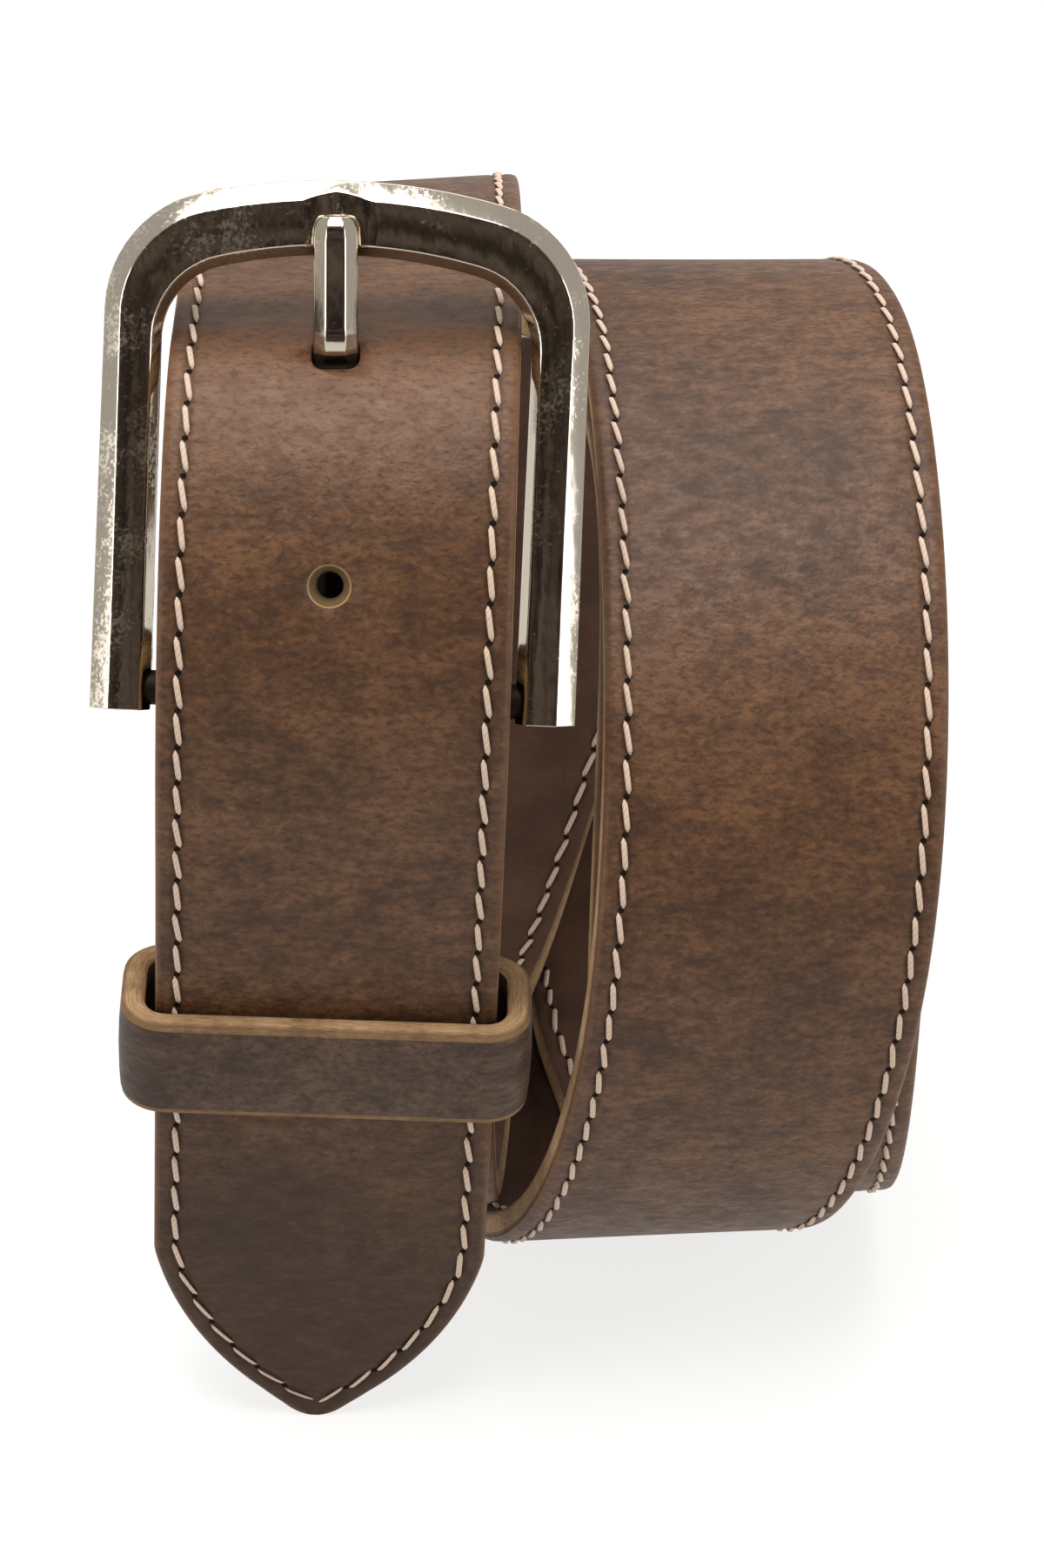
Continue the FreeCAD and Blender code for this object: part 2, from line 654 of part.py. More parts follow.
# ---------------------------------------------------------------- keeper loop and its staple
keeper_run = dim("keeper_middle") / dim("straight_height")
keeper_middle, keeper_across, keeper_along, keeper_out = strap_frame(0, keeper_run)
keeper_centre = keeper_middle - keeper_out * ((THICK + LAYER) / 2)
KEEPER_PLACE = axes_placement(keeper_centre, keeper_across, keeper_out * -1, keeper_along)
inner_w, inner_d = dim("keeper_inner_width") / 2, dim("keeper_inner_depth") / 2
leather = dim("keeper_leather")
CORNER = 2.3
SEAM_GAP = 0.3


def rounded_ring(half_width, half_depth, radius):
    """One side of the loop's outline: front, rounded corners and the back up to its seam."""
    lean_in = radius * (1 - math.sqrt(0.5))
    edges = []
    for side in (1, -1):
        edges.append(arc((side * (half_width - radius), -half_depth),
                         (side * (half_width - lean_in), -half_depth + lean_in),
                         (side * half_width, -half_depth + radius)))
        edges.append(line((side * half_width, -half_depth + radius),
                          (side * half_width, half_depth - radius)))
        edges.append(arc((side * half_width, half_depth - radius),
                         (side * (half_width - lean_in), half_depth - lean_in),
                         (side * (half_width - radius), half_depth)))
        edges.append(line((side * (half_width - radius), half_depth),
                          (side * SEAM_GAP / 2, half_depth)))
    edges.append(line((half_width - radius, -half_depth), (radius - half_width, -half_depth)))
    return edges


keeper_body = doc.addObject("PartDesign::Body", "keeper_loop")
keeper_body.Label = "keeper_loop"
loop_outline = attached_sketch(keeper_body, "keeper_outline", "XY_Plane")
seam = [line((side * SEAM_GAP / 2, inner_d), (side * SEAM_GAP / 2, inner_d + leather))
        for side in (1, -1)]
loop_outline.addGeometry(rounded_ring(inner_w, inner_d, CORNER)
                         + rounded_ring(inner_w + leather, inner_d + leather, CORNER + leather)
                         + seam, False)
keeper_pad = keeper_body.newObject("PartDesign::Pad", "keeper_pad")
keeper_pad.Profile = loop_outline
keeper_pad.Midplane = True
keeper_pad.setExpression("Length", bound("{keeper_height}"))
doc.recompute()
staple_holes = attached_sketch(keeper_body, "staple_holes", "XZ_Plane")
STAPLE_HALF, STAPLE_WIRE = 4.0, 1.0
for side in (-1, 1):
    staple_holes.addGeometry(Part.Circle(Vector(side * STAPLE_HALF, 0, 0), Vector(0, 0, 1),
                                         STAPLE_WIRE / 2), False)
hole_cut = keeper_body.newObject("PartDesign::Pocket", "staple_hole_cut")
hole_cut.Profile = staple_holes
hole_cut.Length = inner_d + leather + 1
keeper_body.Placement = KEEPER_PLACE
doc.recompute()

wire_radius = STAPLE_WIRE / 2
crown_y = inner_d + leather + wire_radius
leg_end = inner_d + 0.1
STAPLE_BEND = 0.8
STAPLE_PLAY = 0.02


def staple_bend(side):
    """The rounded corner of the staple on one side, from its leg to its crown."""
    short = STAPLE_BEND * (1 - math.sqrt(0.5))
    return Part.Arc(Vector(side * STAPLE_HALF, crown_y - STAPLE_BEND, 0),
                    Vector(side * (STAPLE_HALF - short), crown_y - short, 0),
                    Vector(side * (STAPLE_HALF - STAPLE_BEND), crown_y, 0)).toShape()


def staple_line(start, end):
    return Part.LineSegment(Vector(*start, 0), Vector(*end, 0)).toShape()


bend_y, bend_x = crown_y - STAPLE_BEND, STAPLE_HALF - STAPLE_BEND
staple_path = Part.Wire([
    staple_line((-STAPLE_HALF, leg_end), (-STAPLE_HALF, bend_y)),
    staple_bend(-1),
    staple_line((-bend_x, crown_y), (bend_x, crown_y)),
    staple_bend(1),
    staple_line((STAPLE_HALF, bend_y), (STAPLE_HALF, leg_end)),
])
staple_section = Part.Wire([Part.Circle(Vector(-STAPLE_HALF, leg_end, 0), Vector(0, 1, 0),
                                        wire_radius - STAPLE_PLAY).toShape()])
staple = feature("keeper_staple", staple_path.makePipeShell([staple_section], True, True))
staple.Placement = KEEPER_PLACE
doc.recompute()

# ---------------------------------------------------------------- write the pieces
PIECES = ["strap_tip_run", "strap_outer_turn", "strap_middle_turn", "strap_inner_turn",
          "strap_fold", "fold_rivet_posts", "fold_rivet_caps", "buckle_frame", "heel_bar", "prong",
          "keeper_loop", "keeper_staple"]
for item in doc.Objects:
    if "Invalid" in item.State or "Error" in item.State:
        raise SystemExit("failed object: " + item.Name)
pieces = {item.Label: item for item in doc.Objects if item.Label in PIECES}
whole = FreeCAD.BoundBox()
for name in PIECES:
    shape = pieces[name].Shape
    if shape.isNull() or not shape.isValid():
        raise SystemExit("bad shape: " + name)
    whole.add(shape.optimalBoundingBox(False))

# The row frame's origin is the bottom centre of the whole belt.
to_origin = Placement(Vector(-whole.Center.x, -whole.Center.y, -whole.ZMin), Rotation())
for name in PIECES:
    pieces[name].Placement = to_origin.multiply(pieces[name].Placement)
doc.recompute()

os.makedirs("parts", exist_ok=True)
for name in PIECES:
    shape = pieces[name].Shape
    print("%-20s solids %d volume %9.1f" % (name, len(shape.Solids), shape.Volume))
    shape.exportStep(os.path.join("parts", name + ".step"))


def report(label, vector):
    print("%-20s %10.5f %10.5f %10.5f" % (label, vector.x, vector.y, vector.z))


report("box size", Vector(whole.XLength, whole.YLength, whole.ZLength))
report("origin shift", to_origin.Base)
report("heel bar middle", HEEL + to_origin.Base)
report("heel bar axis", ACROSS)
report("frame up", FRAME_UP)
report("frame out", FRAME_OUT)
report("keeper middle", keeper_centre + to_origin.Base)
report("keeper axis", keeper_along)
hole_middle, hole_out = hole_axis(HOLES[0])
report("first hole", hole_middle + to_origin.Base)
report("first hole axis", hole_out)
print("strap length", round(sum(LENGTHS[:HEEL_RUN]) + LENGTHS[HEEL_RUN] * HEEL_PART, 1))
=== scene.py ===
import math
import random

import bmesh
import bpy
import numpy as np
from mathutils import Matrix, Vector


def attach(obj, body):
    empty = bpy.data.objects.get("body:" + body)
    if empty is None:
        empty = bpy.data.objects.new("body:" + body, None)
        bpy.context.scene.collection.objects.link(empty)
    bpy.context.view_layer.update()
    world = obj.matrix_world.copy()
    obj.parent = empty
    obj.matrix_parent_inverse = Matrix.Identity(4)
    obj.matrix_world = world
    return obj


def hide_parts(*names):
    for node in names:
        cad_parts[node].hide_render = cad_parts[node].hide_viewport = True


# Leather belt, buckled and folded into three turns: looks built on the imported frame.
# Shapes are worked out in millimetres in the row frame and scaled to metres when a mesh is made.
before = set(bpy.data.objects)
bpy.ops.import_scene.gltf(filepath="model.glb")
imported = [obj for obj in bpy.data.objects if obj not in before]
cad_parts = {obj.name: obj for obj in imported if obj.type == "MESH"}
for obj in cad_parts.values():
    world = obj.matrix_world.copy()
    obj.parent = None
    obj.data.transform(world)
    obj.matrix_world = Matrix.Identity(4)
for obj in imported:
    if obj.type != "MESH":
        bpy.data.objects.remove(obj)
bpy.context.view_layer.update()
random.seed(7)
MM = 0.001

# ------------------------------------------------------------------ the strap's route
THICK = 3.5
LAYER = 4.3
HALF = 17.5
FRONT = -58.3
BACK = 54.5
BACK_SLACK = 0.7
ORIGIN = Vector((0.08136, 2.29387, 0.00451))
# Stations: across, along Y, height, twist in degrees, and how the strap leaves the station.
ROUTE = [
    (-22.5, FRONT, 0.0, 0, "straight"),
    (-19.2, FRONT, 77.3, 0, "upright"),
    (-17.6, -28.5, 118.5, 0, "level"),
    (-16.8, BACK, 64.0, 8.0, "upright"),
    (2.2, 6.0, 0.0, 0, "straight"),
    (7.6, -15.2, 0.0, 0, "level"),
    (24.1, FRONT, 55.3, -8.0, "upright"),
    (24.1, -6.5, 103.3, 0, "level"),
    (13.0, BACK - LAYER - BACK_SLACK, 61.0, 0, "upright"),
    (18.6, 6.0, LAYER, 0, "straight"),
    (22.4, -15.2, LAYER, 0, "level"),
    (24.4, FRONT + LAYER, 55.3, -8.0, "upright"),
    (23.6, -6.5, 103.3 - LAYER, 0, "level"),
    (3.0, BACK - 2 * (LAYER + BACK_SLACK), 58.0, 0, "upright"),
    (-16.5, 6.0, 2 * LAYER, 0, "straight"),
    (-18.5, -13.2, 2 * LAYER, 0, "level"),
    (-20.4, FRONT + LAYER, 36.0, 0, "straight"),
    (-19.4, FRONT + LAYER, 77.3, 0, "upright"),
    (-17.0, -28.5, 118.5 - LAYER, 0, "level"),
]
# The run behind the buckle's front layer, and the run and share of it where the heel bar sits.
INNER_FRONT, HEEL_RUN, HEEL_PART = 16, 17, 17.2 / 90
BAR_RADIUS, FOLD_RADIUS, FOLD_GAP = 1.75, 2.0, 0.4
TAB_END_HEIGHT = 61.0


def side_view(run, part):
    _, y0, z0, _, leaves = ROUTE[run]
    _, y1, z1, _, _ = ROUTE[run + 1]
    if leaves == "straight":
        return y0 + (y1 - y0) * part, z0 + (z1 - z0) * part
    turn = math.radians(90 * part)
    if leaves == "upright":
        return y0 + (y1 - y0) * (1 - math.cos(turn)), z0 + (z1 - z0) * math.sin(turn)
    return y0 + (y1 - y0) * math.sin(turn), z0 + (z1 - z0) * (1 - math.cos(turn))


def speed(run, part):
    step = 1e-4
    y0, z0 = side_view(run, part - step)
    y1, z1 = side_view(run, part + step)
    return math.hypot(y1 - y0, z1 - z0) / (2 * step)


def run_length(run, steps=40):
    return sum(speed(run, (i + 0.5) / steps) for i in range(steps)) / steps


LENGTHS = [run_length(run) for run in range(len(ROUTE) - 1)]


def station_slope(station):
    first = max(station - 1, 0)
    last = min(station + 1, len(ROUTE) - 1)
    return (ROUTE[last][0] - ROUTE[first][0]) / sum(LENGTHS[first:last])


def eased_x(run, part):
    slope0 = station_slope(run) * speed(run, 0.0)
    slope1 = station_slope(run + 1) * speed(run, 1.0)
    square, cube = part ** 2, part ** 3
    return (ROUTE[run][0] * (2 * cube - 3 * square + 1) + slope0 * (cube - 2 * square + part)
            + ROUTE[run + 1][0] * (3 * square - 2 * cube) + slope1 * (cube - square))


def eased_twist(run, part):
    before, after = ROUTE[run][3], ROUTE[run + 1][3]
    return before + (after - before) * (3 * part ** 2 - 2 * part ** 3)


def centre(run, part):
    y, z = side_view(run, part)
    return Vector((eased_x(run, part), y, z)) + ORIGIN


def strap_frame(run, part):
    """Middle of the outer face with its directions: across, along and outward."""
    step = 1e-3
    along = (centre(run, part + step) - centre(run, part - step)).normalized()
    across = (Vector((1, 0, 0)) - along * along.x).normalized()
    outward = across.cross(along)
    twist = math.radians(eased_twist(run, part))
    turned = across * math.cos(twist) + outward * math.sin(twist)
    outward = outward * math.cos(twist) - across * math.sin(twist)
    return centre(run, part), turned, along, outward


foot, ACROSS, foot_along, foot_out = strap_frame(HEEL_RUN, HEEL_PART)
HEEL = foot - foot_out * (THICK + FOLD_RADIUS)


def route_table():
    """The whole strap's outer face from the point to the tab's end: distance, place, across, outward."""
    rows = []
    for run in range(HEEL_RUN + 1):
        end = HEEL_PART if run == HEEL_RUN else 1.0
        steps = max(4, int(LENGTHS[run] * end / 0.8))
        for i in range(steps):
            place, across, _, outward = strap_frame(run, end * i / steps)
            rows.append((place, across, outward))
    # The fold round the heel bar, a straight stretch, and the tab behind the strap's inner face.
    outer = FOLD_RADIUS + THICK
    tab_top, tab_across, _, tab_outward = strap_frame(INNER_FRONT, 1.0)
    far = tab_top - tab_outward * (2 * THICK + FOLD_GAP)
    arm = far - HEEL
    x, y = arm.dot(foot_out), arm.dot(foot_along)
    touch = math.atan2(y, x) - math.acos(outer / math.hypot(x, y))
    touch += 2 * math.pi if touch < 0 else 0.0
    turn_steps = 24
    for i in range(turn_steps + 1):
        angle = touch * i / turn_steps
        direction = foot_out * math.cos(angle) + foot_along * math.sin(angle)
        rows.append((HEEL + direction * outer, ACROSS.copy(), direction))
    last_point, _, last_direction = rows[-1]
    for i in range(1, 8):
        share = i / 8
        outward = last_direction.lerp(-tab_outward, share).normalized()
        rows.append((last_point.lerp(far, share), ACROSS.lerp(tab_across, share).normalized(), outward))
    straight = ROUTE[INNER_FRONT + 1][2] - ROUTE[INNER_FRONT][2]
    tab_end = (TAB_END_HEIGHT - ROUTE[INNER_FRONT][2]) / straight
    tab_steps = 20
    for i in range(tab_steps + 1):
        place, across, _, outward = strap_frame(INNER_FRONT, 1.0 + (tab_end - 1.0) * i / tab_steps)
        rows.append((place - outward * (2 * THICK + FOLD_GAP), across, -outward))
    distances = [0.0]
    for before, after in zip(rows, rows[1:]):
        distances.append(distances[-1] + (after[0] - before[0]).length)
    places = np.array([list(row[0]) for row in rows])
    acrosses = np.array([list(row[1]) for row in rows])
    outwards = np.array([list(row[2]) for row in rows])
    return np.array(distances), places, acrosses, outwards


DIST, PLACES, ACROSSES, OUTWARDS = route_table()
STRAP_END = float(DIST[-1])


def sample(distances):
    """Place, across and outward of the outer face at each distance from the point."""
    def along_table(values):
        return np.stack([np.interp(distances, DIST, values[:, k]) for k in range(3)], axis=1)

    def unit(values):
        return values / np.linalg.norm(values, axis=1, keepdims=True)

    return along_table(PLACES), unit(along_table(ACROSSES)), unit(along_table(OUTWARDS))


# ------------------------------------------------------------------ outline of the point
POINT_LENGTH = 22.3
SHOULDER, BELLY, NOSE = (HALF, POINT_LENGTH), (12.4, 10.4), (3.4, 1.35)
SEAM_INSET = 2.25


def circle_through(a, b, c):
    (ax, ay), (bx, by), (cx, cy) = a, b, c
    d = 2 * (ax * (by - cy) + bx * (cy - ay) + cx * (ay - by))
    sa, sb, sc = ax * ax + ay * ay, bx * bx + by * by, cx * cx + cy * cy
    x = (sa * (by - cy) + sb * (cy - ay) + sc * (ay - by)) / d
    y = (sa * (cx - bx) + sb * (ax - cx) + sc * (bx - ax)) / d
    return x, y, math.hypot(ax - x, ay - y)


SIDE_X, SIDE_S, SIDE_R = circle_through(SHOULDER, BELLY, NOSE)
_, NOSE_S, NOSE_R = circle_through((-NOSE[0], NOSE[1]), (0.0, 0.0), NOSE)


def half_width(s):
    """Half the strap's width at a distance from its point."""
    if s >= POINT_LENGTH:
        return HALF
    if s <= NOSE[1]:
        return math.sqrt(max(NOSE_R ** 2 - (s - NOSE_S) ** 2, 0.0))
    return SIDE_X + math.sqrt(SIDE_R ** 2 - (s - SIDE_S) ** 2)


def edge_distance(x, s):
    """How far a spot on the strap is from the nearest long edge."""
    if s >= POINT_LENGTH + 6:
        return HALF - abs(x)
    return min(HALF - abs(x), SIDE_R - math.hypot(abs(x) - SIDE_X, s - SIDE_S))


# ------------------------------------------------------------------ mesh helpers
def new_object(name, vertices, faces, materials, indices=None, smooth=True):
    mesh = bpy.data.meshes.new(name)
    mesh.from_pydata([tuple(np.asarray(v) * MM) for v in vertices], [], faces)
    for material in materials:
        mesh.materials.append(material)
    if indices is not None:
        mesh.polygons.foreach_set("material_index", indices)
    mesh.polygons.foreach_set("use_smooth", [smooth] * len(mesh.polygons))
    face_outward(mesh)
    piece = bpy.data.objects.new(name, mesh)
    bpy.context.scene.collection.objects.link(piece)
    return piece


def tube_faces(rings, size, base=0):
    """Faces of a tube whose rings have size points each, then its two end faces."""
    faces = []
    for ring in range(rings - 1):
        low, high = base + ring * size, base + (ring + 1) * size
        for i in range(size):
            k = (i + 1) % size
            faces.append((low + i, low + k, high + k, high + i))
    last = base + (rings - 1) * size
    faces.append(tuple(base + i for i in range(size))[::-1])
    faces.append(tuple(last + i for i in range(size)))
    return faces


def add_map(piece, name, values):
    """A texture map with one (u, v) for each of the piece's vertices."""
    layer = piece.data.uv_layers.new(name=name)
    corners = np.zeros(len(piece.data.loops), dtype=np.int32)
    piece.data.loops.foreach_get("vertex_index", corners)
    layer.data.foreach_set("uv", np.array(values, dtype=np.float32)[corners].ravel())


def face_outward(mesh):
    """Turns every face of a closed mesh outward."""
    work = bmesh.new()
    work.from_mesh(mesh)
    bmesh.ops.recalc_face_normals(work, faces=work.faces)
    work.to_mesh(mesh)
    work.free()
    mesh.update()


def modifier(piece, kind, **settings):
    item = piece.modifiers.new(kind.lower(), kind)
    for key, value in settings.items():
        setattr(item, key, value)
    return item


def apply_modifiers(piece):
    graph = bpy.context.evaluated_depsgraph_get()
    mesh = bpy.data.meshes.new_from_object(piece.evaluated_get(graph))
    piece.modifiers.clear()
    old = piece.data
    piece.data = mesh
    bpy.data.meshes.remove(old)


# ------------------------------------------------------------------ materials
UV_SCALE = 0.01       # texture units per millimetre of strap


class Nodes:
    """A short way to write node materials."""

    def __init__(self, name):
        self.material = bpy.data.materials.new(name)
        self.material.use_nodes = True
        self.tree = self.material.node_tree
        self.shader = self.tree.nodes["Principled BSDF"]

    def add(self, kind, inputs=None, **settings):
        node = self.tree.nodes.new(kind)
        for key, value in settings.items():
            setattr(node, key, value)
        for key, value in (inputs or {}).items():
            self.put(node.inputs[key], value)
        return node

    def put(self, socket, value):
        if isinstance(value, bpy.types.NodeSocket):
            self.tree.links.new(value, socket)
        else:
            socket.default_value = value

    def maths(self, operation, *values):
        node = self.add("ShaderNodeMath", operation=operation)
        for socket, value in zip(node.inputs, values):
            self.put(socket, value)
        return node.outputs[0]

    def noise(self, vector, scale, detail=3.0, rough=0.55):
        node = self.add("ShaderNodeTexNoise", {"Vector": vector, "Scale": scale, "Detail": detail,
                                               "Roughness": rough})
        return node.outputs["Fac"]

    def stretch(self, vector, scale, offset=(0, 0, 0)):
        node = self.add("ShaderNodeMapping", {"Vector": vector, "Scale": scale, "Location": offset})
        return node.outputs["Vector"]

    def ramp(self, value, stops):
        node = self.add("ShaderNodeValToRGB", {"Fac": value})
        points = node.color_ramp.elements
        while len(points) < len(stops):
            points.new(0.5)
        for point, (position, colour) in zip(points, stops):
            point.position = position
            point.color = (*colour, 1.0)
        return node.outputs["Color"]

    def weigh(self, *pairs):
        """Sum of (value, weight) pairs."""
        terms = [self.maths("MULTIPLY", value, weight) for value, weight in pairs]
        total = terms[0]
        for term in terms[1:]:
            total = self.maths("ADD", total, term)
        return total

    def mix(self, share, first, second):
        node = self.add("ShaderNodeMix", data_type="RGBA")
        colours = [socket for socket in node.inputs if socket.type == "RGBA"]
        self.put(node.inputs[0], share)
        for socket, value in zip(colours, (first, second)):
            self.put(socket, (*value, 1.0) if isinstance(value, tuple) else value)
        return [socket for socket in node.outputs if socket.type == "RGBA"][0]

    def stain(self, colour, where, strength, tint, brightness):
        """A colour turned towards a brighter or darker tint where a mask says so."""
        target = tuple(min(1.0, brightness * part) for part in tint)
        return self.mix(self.maths("MULTIPLY", where, strength), colour, target)

    def off(self, value, middle):
        """How far a texture value is from a spot given in millimetres."""
        return self.maths("ABSOLUTE", self.maths("SUBTRACT", value, middle * UV_SCALE))

    def mm_band(self, value, low, high):
        """The smooth band between two spots given in millimetres."""
        return self.band(value, low * UV_SCALE, high * UV_SCALE)

    def band(self, value, low, high, first=0.0, second=1.0):
        """A value that goes smoothly from first at low to second at high."""
        node = self.add("ShaderNodeMapRange", {"Value": value, "From Min": low, "From Max": high,
                                               "To Min": first, "To Max": second},
                        interpolation_type="SMOOTHSTEP")
        return node.outputs[0]

    def finish(self, colour, rough, height=None, depth=0.1, **fixed):
        self.put(self.shader.inputs["Base Color"], colour)
        self.put(self.shader.inputs["Roughness"], rough)
        for key, value in fixed.items():
            self.shader.inputs[key.replace("_", " ")].default_value = value
        if height is not None:
            bump = self.add("ShaderNodeBump", {"Height": height, "Distance": depth * MM, "Strength": 1.0})
            self.put(self.shader.inputs["Normal"], bump.outputs[0])
        return self.material


def per_mm(size):
    """Noise scale for features of a size in millimetres on the strap's texture map."""
    return 1.0 / (UV_SCALE * size)


# Spots on the strap, as distances from its point.
POINT_DARKEN_START, POINT_DARKEN_FULL = 58.0, 14.0
SMUDGE_X, SMUDGE_AT, SMUDGE_REACH, SMUDGE_CORE = -7.0, 27.0, 12.0, 1.0
# Where the painted highlight on the strap's curve lies.
BEND_HIGHLIGHT_AT, BEND_HIGHLIGHT_REACH, BEND_HIGHLIGHT_CORE = 130.0, 24.0, 3.0
# Where the front bar's painted shadow falls across the strap.
BAR_SHADOW_AT, BAR_SHADOW_REACH, BAR_SHADOW_CORE = 134.0, 7.0, 1.5


def buckled_end(n, place, colour, body, warm):
    """The strap's tip end: a darker point, a smudge, a painted highlight on the bend and the front bar's
    painted shadow.
    """
    across, along, _ = n.add("ShaderNodeSeparateXYZ", {"Vector": place}).outputs
    # Darker towards the point.
    colour = n.stain(colour, n.mm_band(along, POINT_DARKEN_START, POINT_DARKEN_FULL), 0.68, body, 0.30)
    # Painted highlight: lighter where the strap is bent over towards the buckle.
    bent = n.mm_band(n.off(along, BEND_HIGHLIGHT_AT), BEND_HIGHLIGHT_REACH, BEND_HIGHLIGHT_CORE)
    colour = n.stain(colour, bent, 0.5, warm, 1.35)
    # Painted shadow of the front bar: a darker band across the strap, just past the hole in use.
    bar_shadow = n.mm_band(n.off(along, BAR_SHADOW_AT), BAR_SHADOW_REACH, BAR_SHADOW_CORE)
    colour = n.stain(colour, bar_shadow, 0.55, body, 0.5)
    dx = n.maths("MULTIPLY", n.off(across, SMUDGE_X), 0.8)
    dy = n.off(along, SMUDGE_AT)
    reach = n.maths("SQRT", n.maths("ADD", n.maths("MULTIPLY", dx, dx), n.maths("MULTIPLY", dy, dy)))
    return n.stain(colour, n.mm_band(reach, SMUDGE_REACH, SMUDGE_CORE), 0.45, body, 0.3)


def grain_leather(name, deep, body, warm, is_strap):
    """Oiled full-grain leather: mottled and faintly streaked, and on the strap darker along the seam and
    lighter along the edges.
    """
    n = Nodes(name)
    place = n.add("ShaderNodeUVMap", uv_map="strap").outputs[0]
    blotch = n.noise(place, per_mm(30.0), 3.0, 0.5)
    cloud = n.noise(n.stretch(place, (0.8, 1.3, 1.0)), per_mm(7.5), 4.0, 0.6)
    streak = n.noise(n.stretch(place, (0.7, 1.25, 1.0)), per_mm(2.0), 4.0, 0.62)
    fleck = n.noise(n.stretch(place, (0.8, 1.2, 1.0), (3.1, 1.7, 0)), per_mm(0.8), 3.0, 0.65)
    pore = n.noise(n.stretch(place, (0.75, 1.3, 1.0), (7.3, 2.9, 0)), per_mm(0.8), 4.0, 0.7)
    grain = n.add("ShaderNodeTexVoronoi", {"Vector": place, "Scale": per_mm(0.5)}).outputs["Distance"]
    tone = n.weigh((blotch, 0.20), (cloud, 0.26), (streak, 0.28), (fleck, 0.26))
    colour = n.ramp(tone, [(0.43, deep), (0.50, body), (0.57, warm)])
    if is_strap:
        colour = buckled_end(n, place, colour, body, warm)
    colour = n.stain(colour, n.band(pore, 0.46, 0.68), 0.75, body, 0.40)
    if is_strap:
        seam = n.add("ShaderNodeUVMap", uv_map="seam").outputs[0]
        inset = n.add("ShaderNodeSeparateXYZ", {"Vector": seam}).outputs[0]
        # Darker along the seam line, and lighter within a millimetre of the cut edge.
        colour = n.stain(colour, n.mm_band(n.off(inset, SEAM_INSET), 0.9, 0.2), 0.35, deep, 0.5)
        colour = n.stain(colour, n.mm_band(inset, 0.8, 0.1), 0.35, warm, 1.25)
    height = n.weigh((grain, 0.4), (fleck, 0.6), (streak, 0.35))
    rough = n.band(streak, 0.3, 0.7, 0.60, 0.48)
    return n.finish(colour, rough, height, 0.09, Specular_IOR_Level=0.3)


def flesh_leather(name, deep, body):
    """The strap's lining side: smoother, redder and evener than the grain side."""
    n = Nodes(name)
    place = n.add("ShaderNodeUVMap", uv_map="strap").outputs[0]
    cloud = n.noise(place, per_mm(9.0), 4.0, 0.6)
    nap = n.noise(place, per_mm(0.5), 3.0, 0.7)
    colour = n.ramp(n.weigh((cloud, 0.6), (nap, 0.4)), [(0.36, deep), (0.64, body)])
    return n.finish(colour, n.band(nap, 0.3, 0.7, 0.72, 0.86), nap, 0.08, Specular_IOR_Level=0.3)


def cut_edge(name, deep, body, pale):
    """Raw cut leather: pale fibres between a dark skin on the grain side and the lining."""
    n = Nodes(name)
    place = n.add("ShaderNodeUVMap", uv_map="strap").outputs[0]
    seam = n.add("ShaderNodeUVMap", uv_map="seam").outputs[0]
    depth = n.add("ShaderNodeSeparateXYZ", {"Vector": seam}).outputs[1]
    fibre = n.noise(n.stretch(seam, (1.0, 9.0, 1.0)), per_mm(1.6), 4.0, 0.7)
    patch = n.noise(place, per_mm(7.0), 3.0, 0.6)
    colour = n.ramp(n.weigh((fibre, 0.6), (patch, 0.4)), [(0.36, deep), (0.5, body), (0.64, pale)])
    colour = n.stain(colour, n.mm_band(depth, 0.7, 0.2), 0.75, deep, 0.7)
    colour = n.stain(colour, n.mm_band(depth, THICK - 0.8, THICK - 0.3), 0.6, deep, 0.8)
    return n.finish(colour, 0.85, fibre, 0.25, Specular_IOR_Level=0.25)


def spun_thread(name, colour, shadow):
    """Waxed beige thread with its twist."""
    n = Nodes(name)
    place = n.add("ShaderNodeUVMap", uv_map="strap").outputs[0]
    twist = n.add("ShaderNodeTexWave", {"Vector": place, "Scale": 1.6, "Distortion": 0.4},
                  bands_direction="DIAGONAL").outputs["Fac"]
    fuzz = n.noise(place, 9.0, 2.0, 0.6)
    tone = n.weigh((twist, 0.6), (fuzz, 0.4))
    return n.finish(n.ramp(tone, [(0.05, shadow), (0.45, colour)]), 0.75, twist, 0.02,
                    Specular_IOR_Level=0.3)


def worn_metal(name, colour, rough, scuffs):
    """Dark nickel plate with fine scratches and cloudy wear."""
    n = Nodes(name)
    place = n.add("ShaderNodeTexCoord").outputs["Object"]
    cloud = n.noise(place, 130.0, 4.0, 0.6)
    scratch = n.noise(n.stretch(place, (1.0, 0.12, 0.12)), 1500.0, 3.0, 0.7)
    speck = n.noise(place, 2600.0, 2.0, 0.5)
    swell = n.noise(n.stretch(place, (1.0, 0.5, 0.5)), 420.0, 2.0, 0.5)
    worn = n.band(n.weigh((cloud, 0.6), (speck, 0.4)), 0.51, 0.64)
    tint = n.stain(colour, worn, 0.35, colour, 1.5)
    surface = n.maths("ADD", rough, n.maths("MULTIPLY", worn, scuffs))
    height = n.weigh((scratch, 0.5), (worn, 0.3), (swell, 4.5))
    return n.finish(tint, surface, height, 0.012, Metallic=1.0)


def dark_pit(name):
    """The unlit bottom of a needle hole."""
    n = Nodes(name)
    place = n.add("ShaderNodeTexCoord").outputs["Object"]
    colour = n.ramp(n.noise(place, 900.0), [(0.3, (0.004, 0.003, 0.002)), (0.7, (0.014, 0.008, 0.005))])
    return n.finish(colour, 0.9, Specular_IOR_Level=0.1)


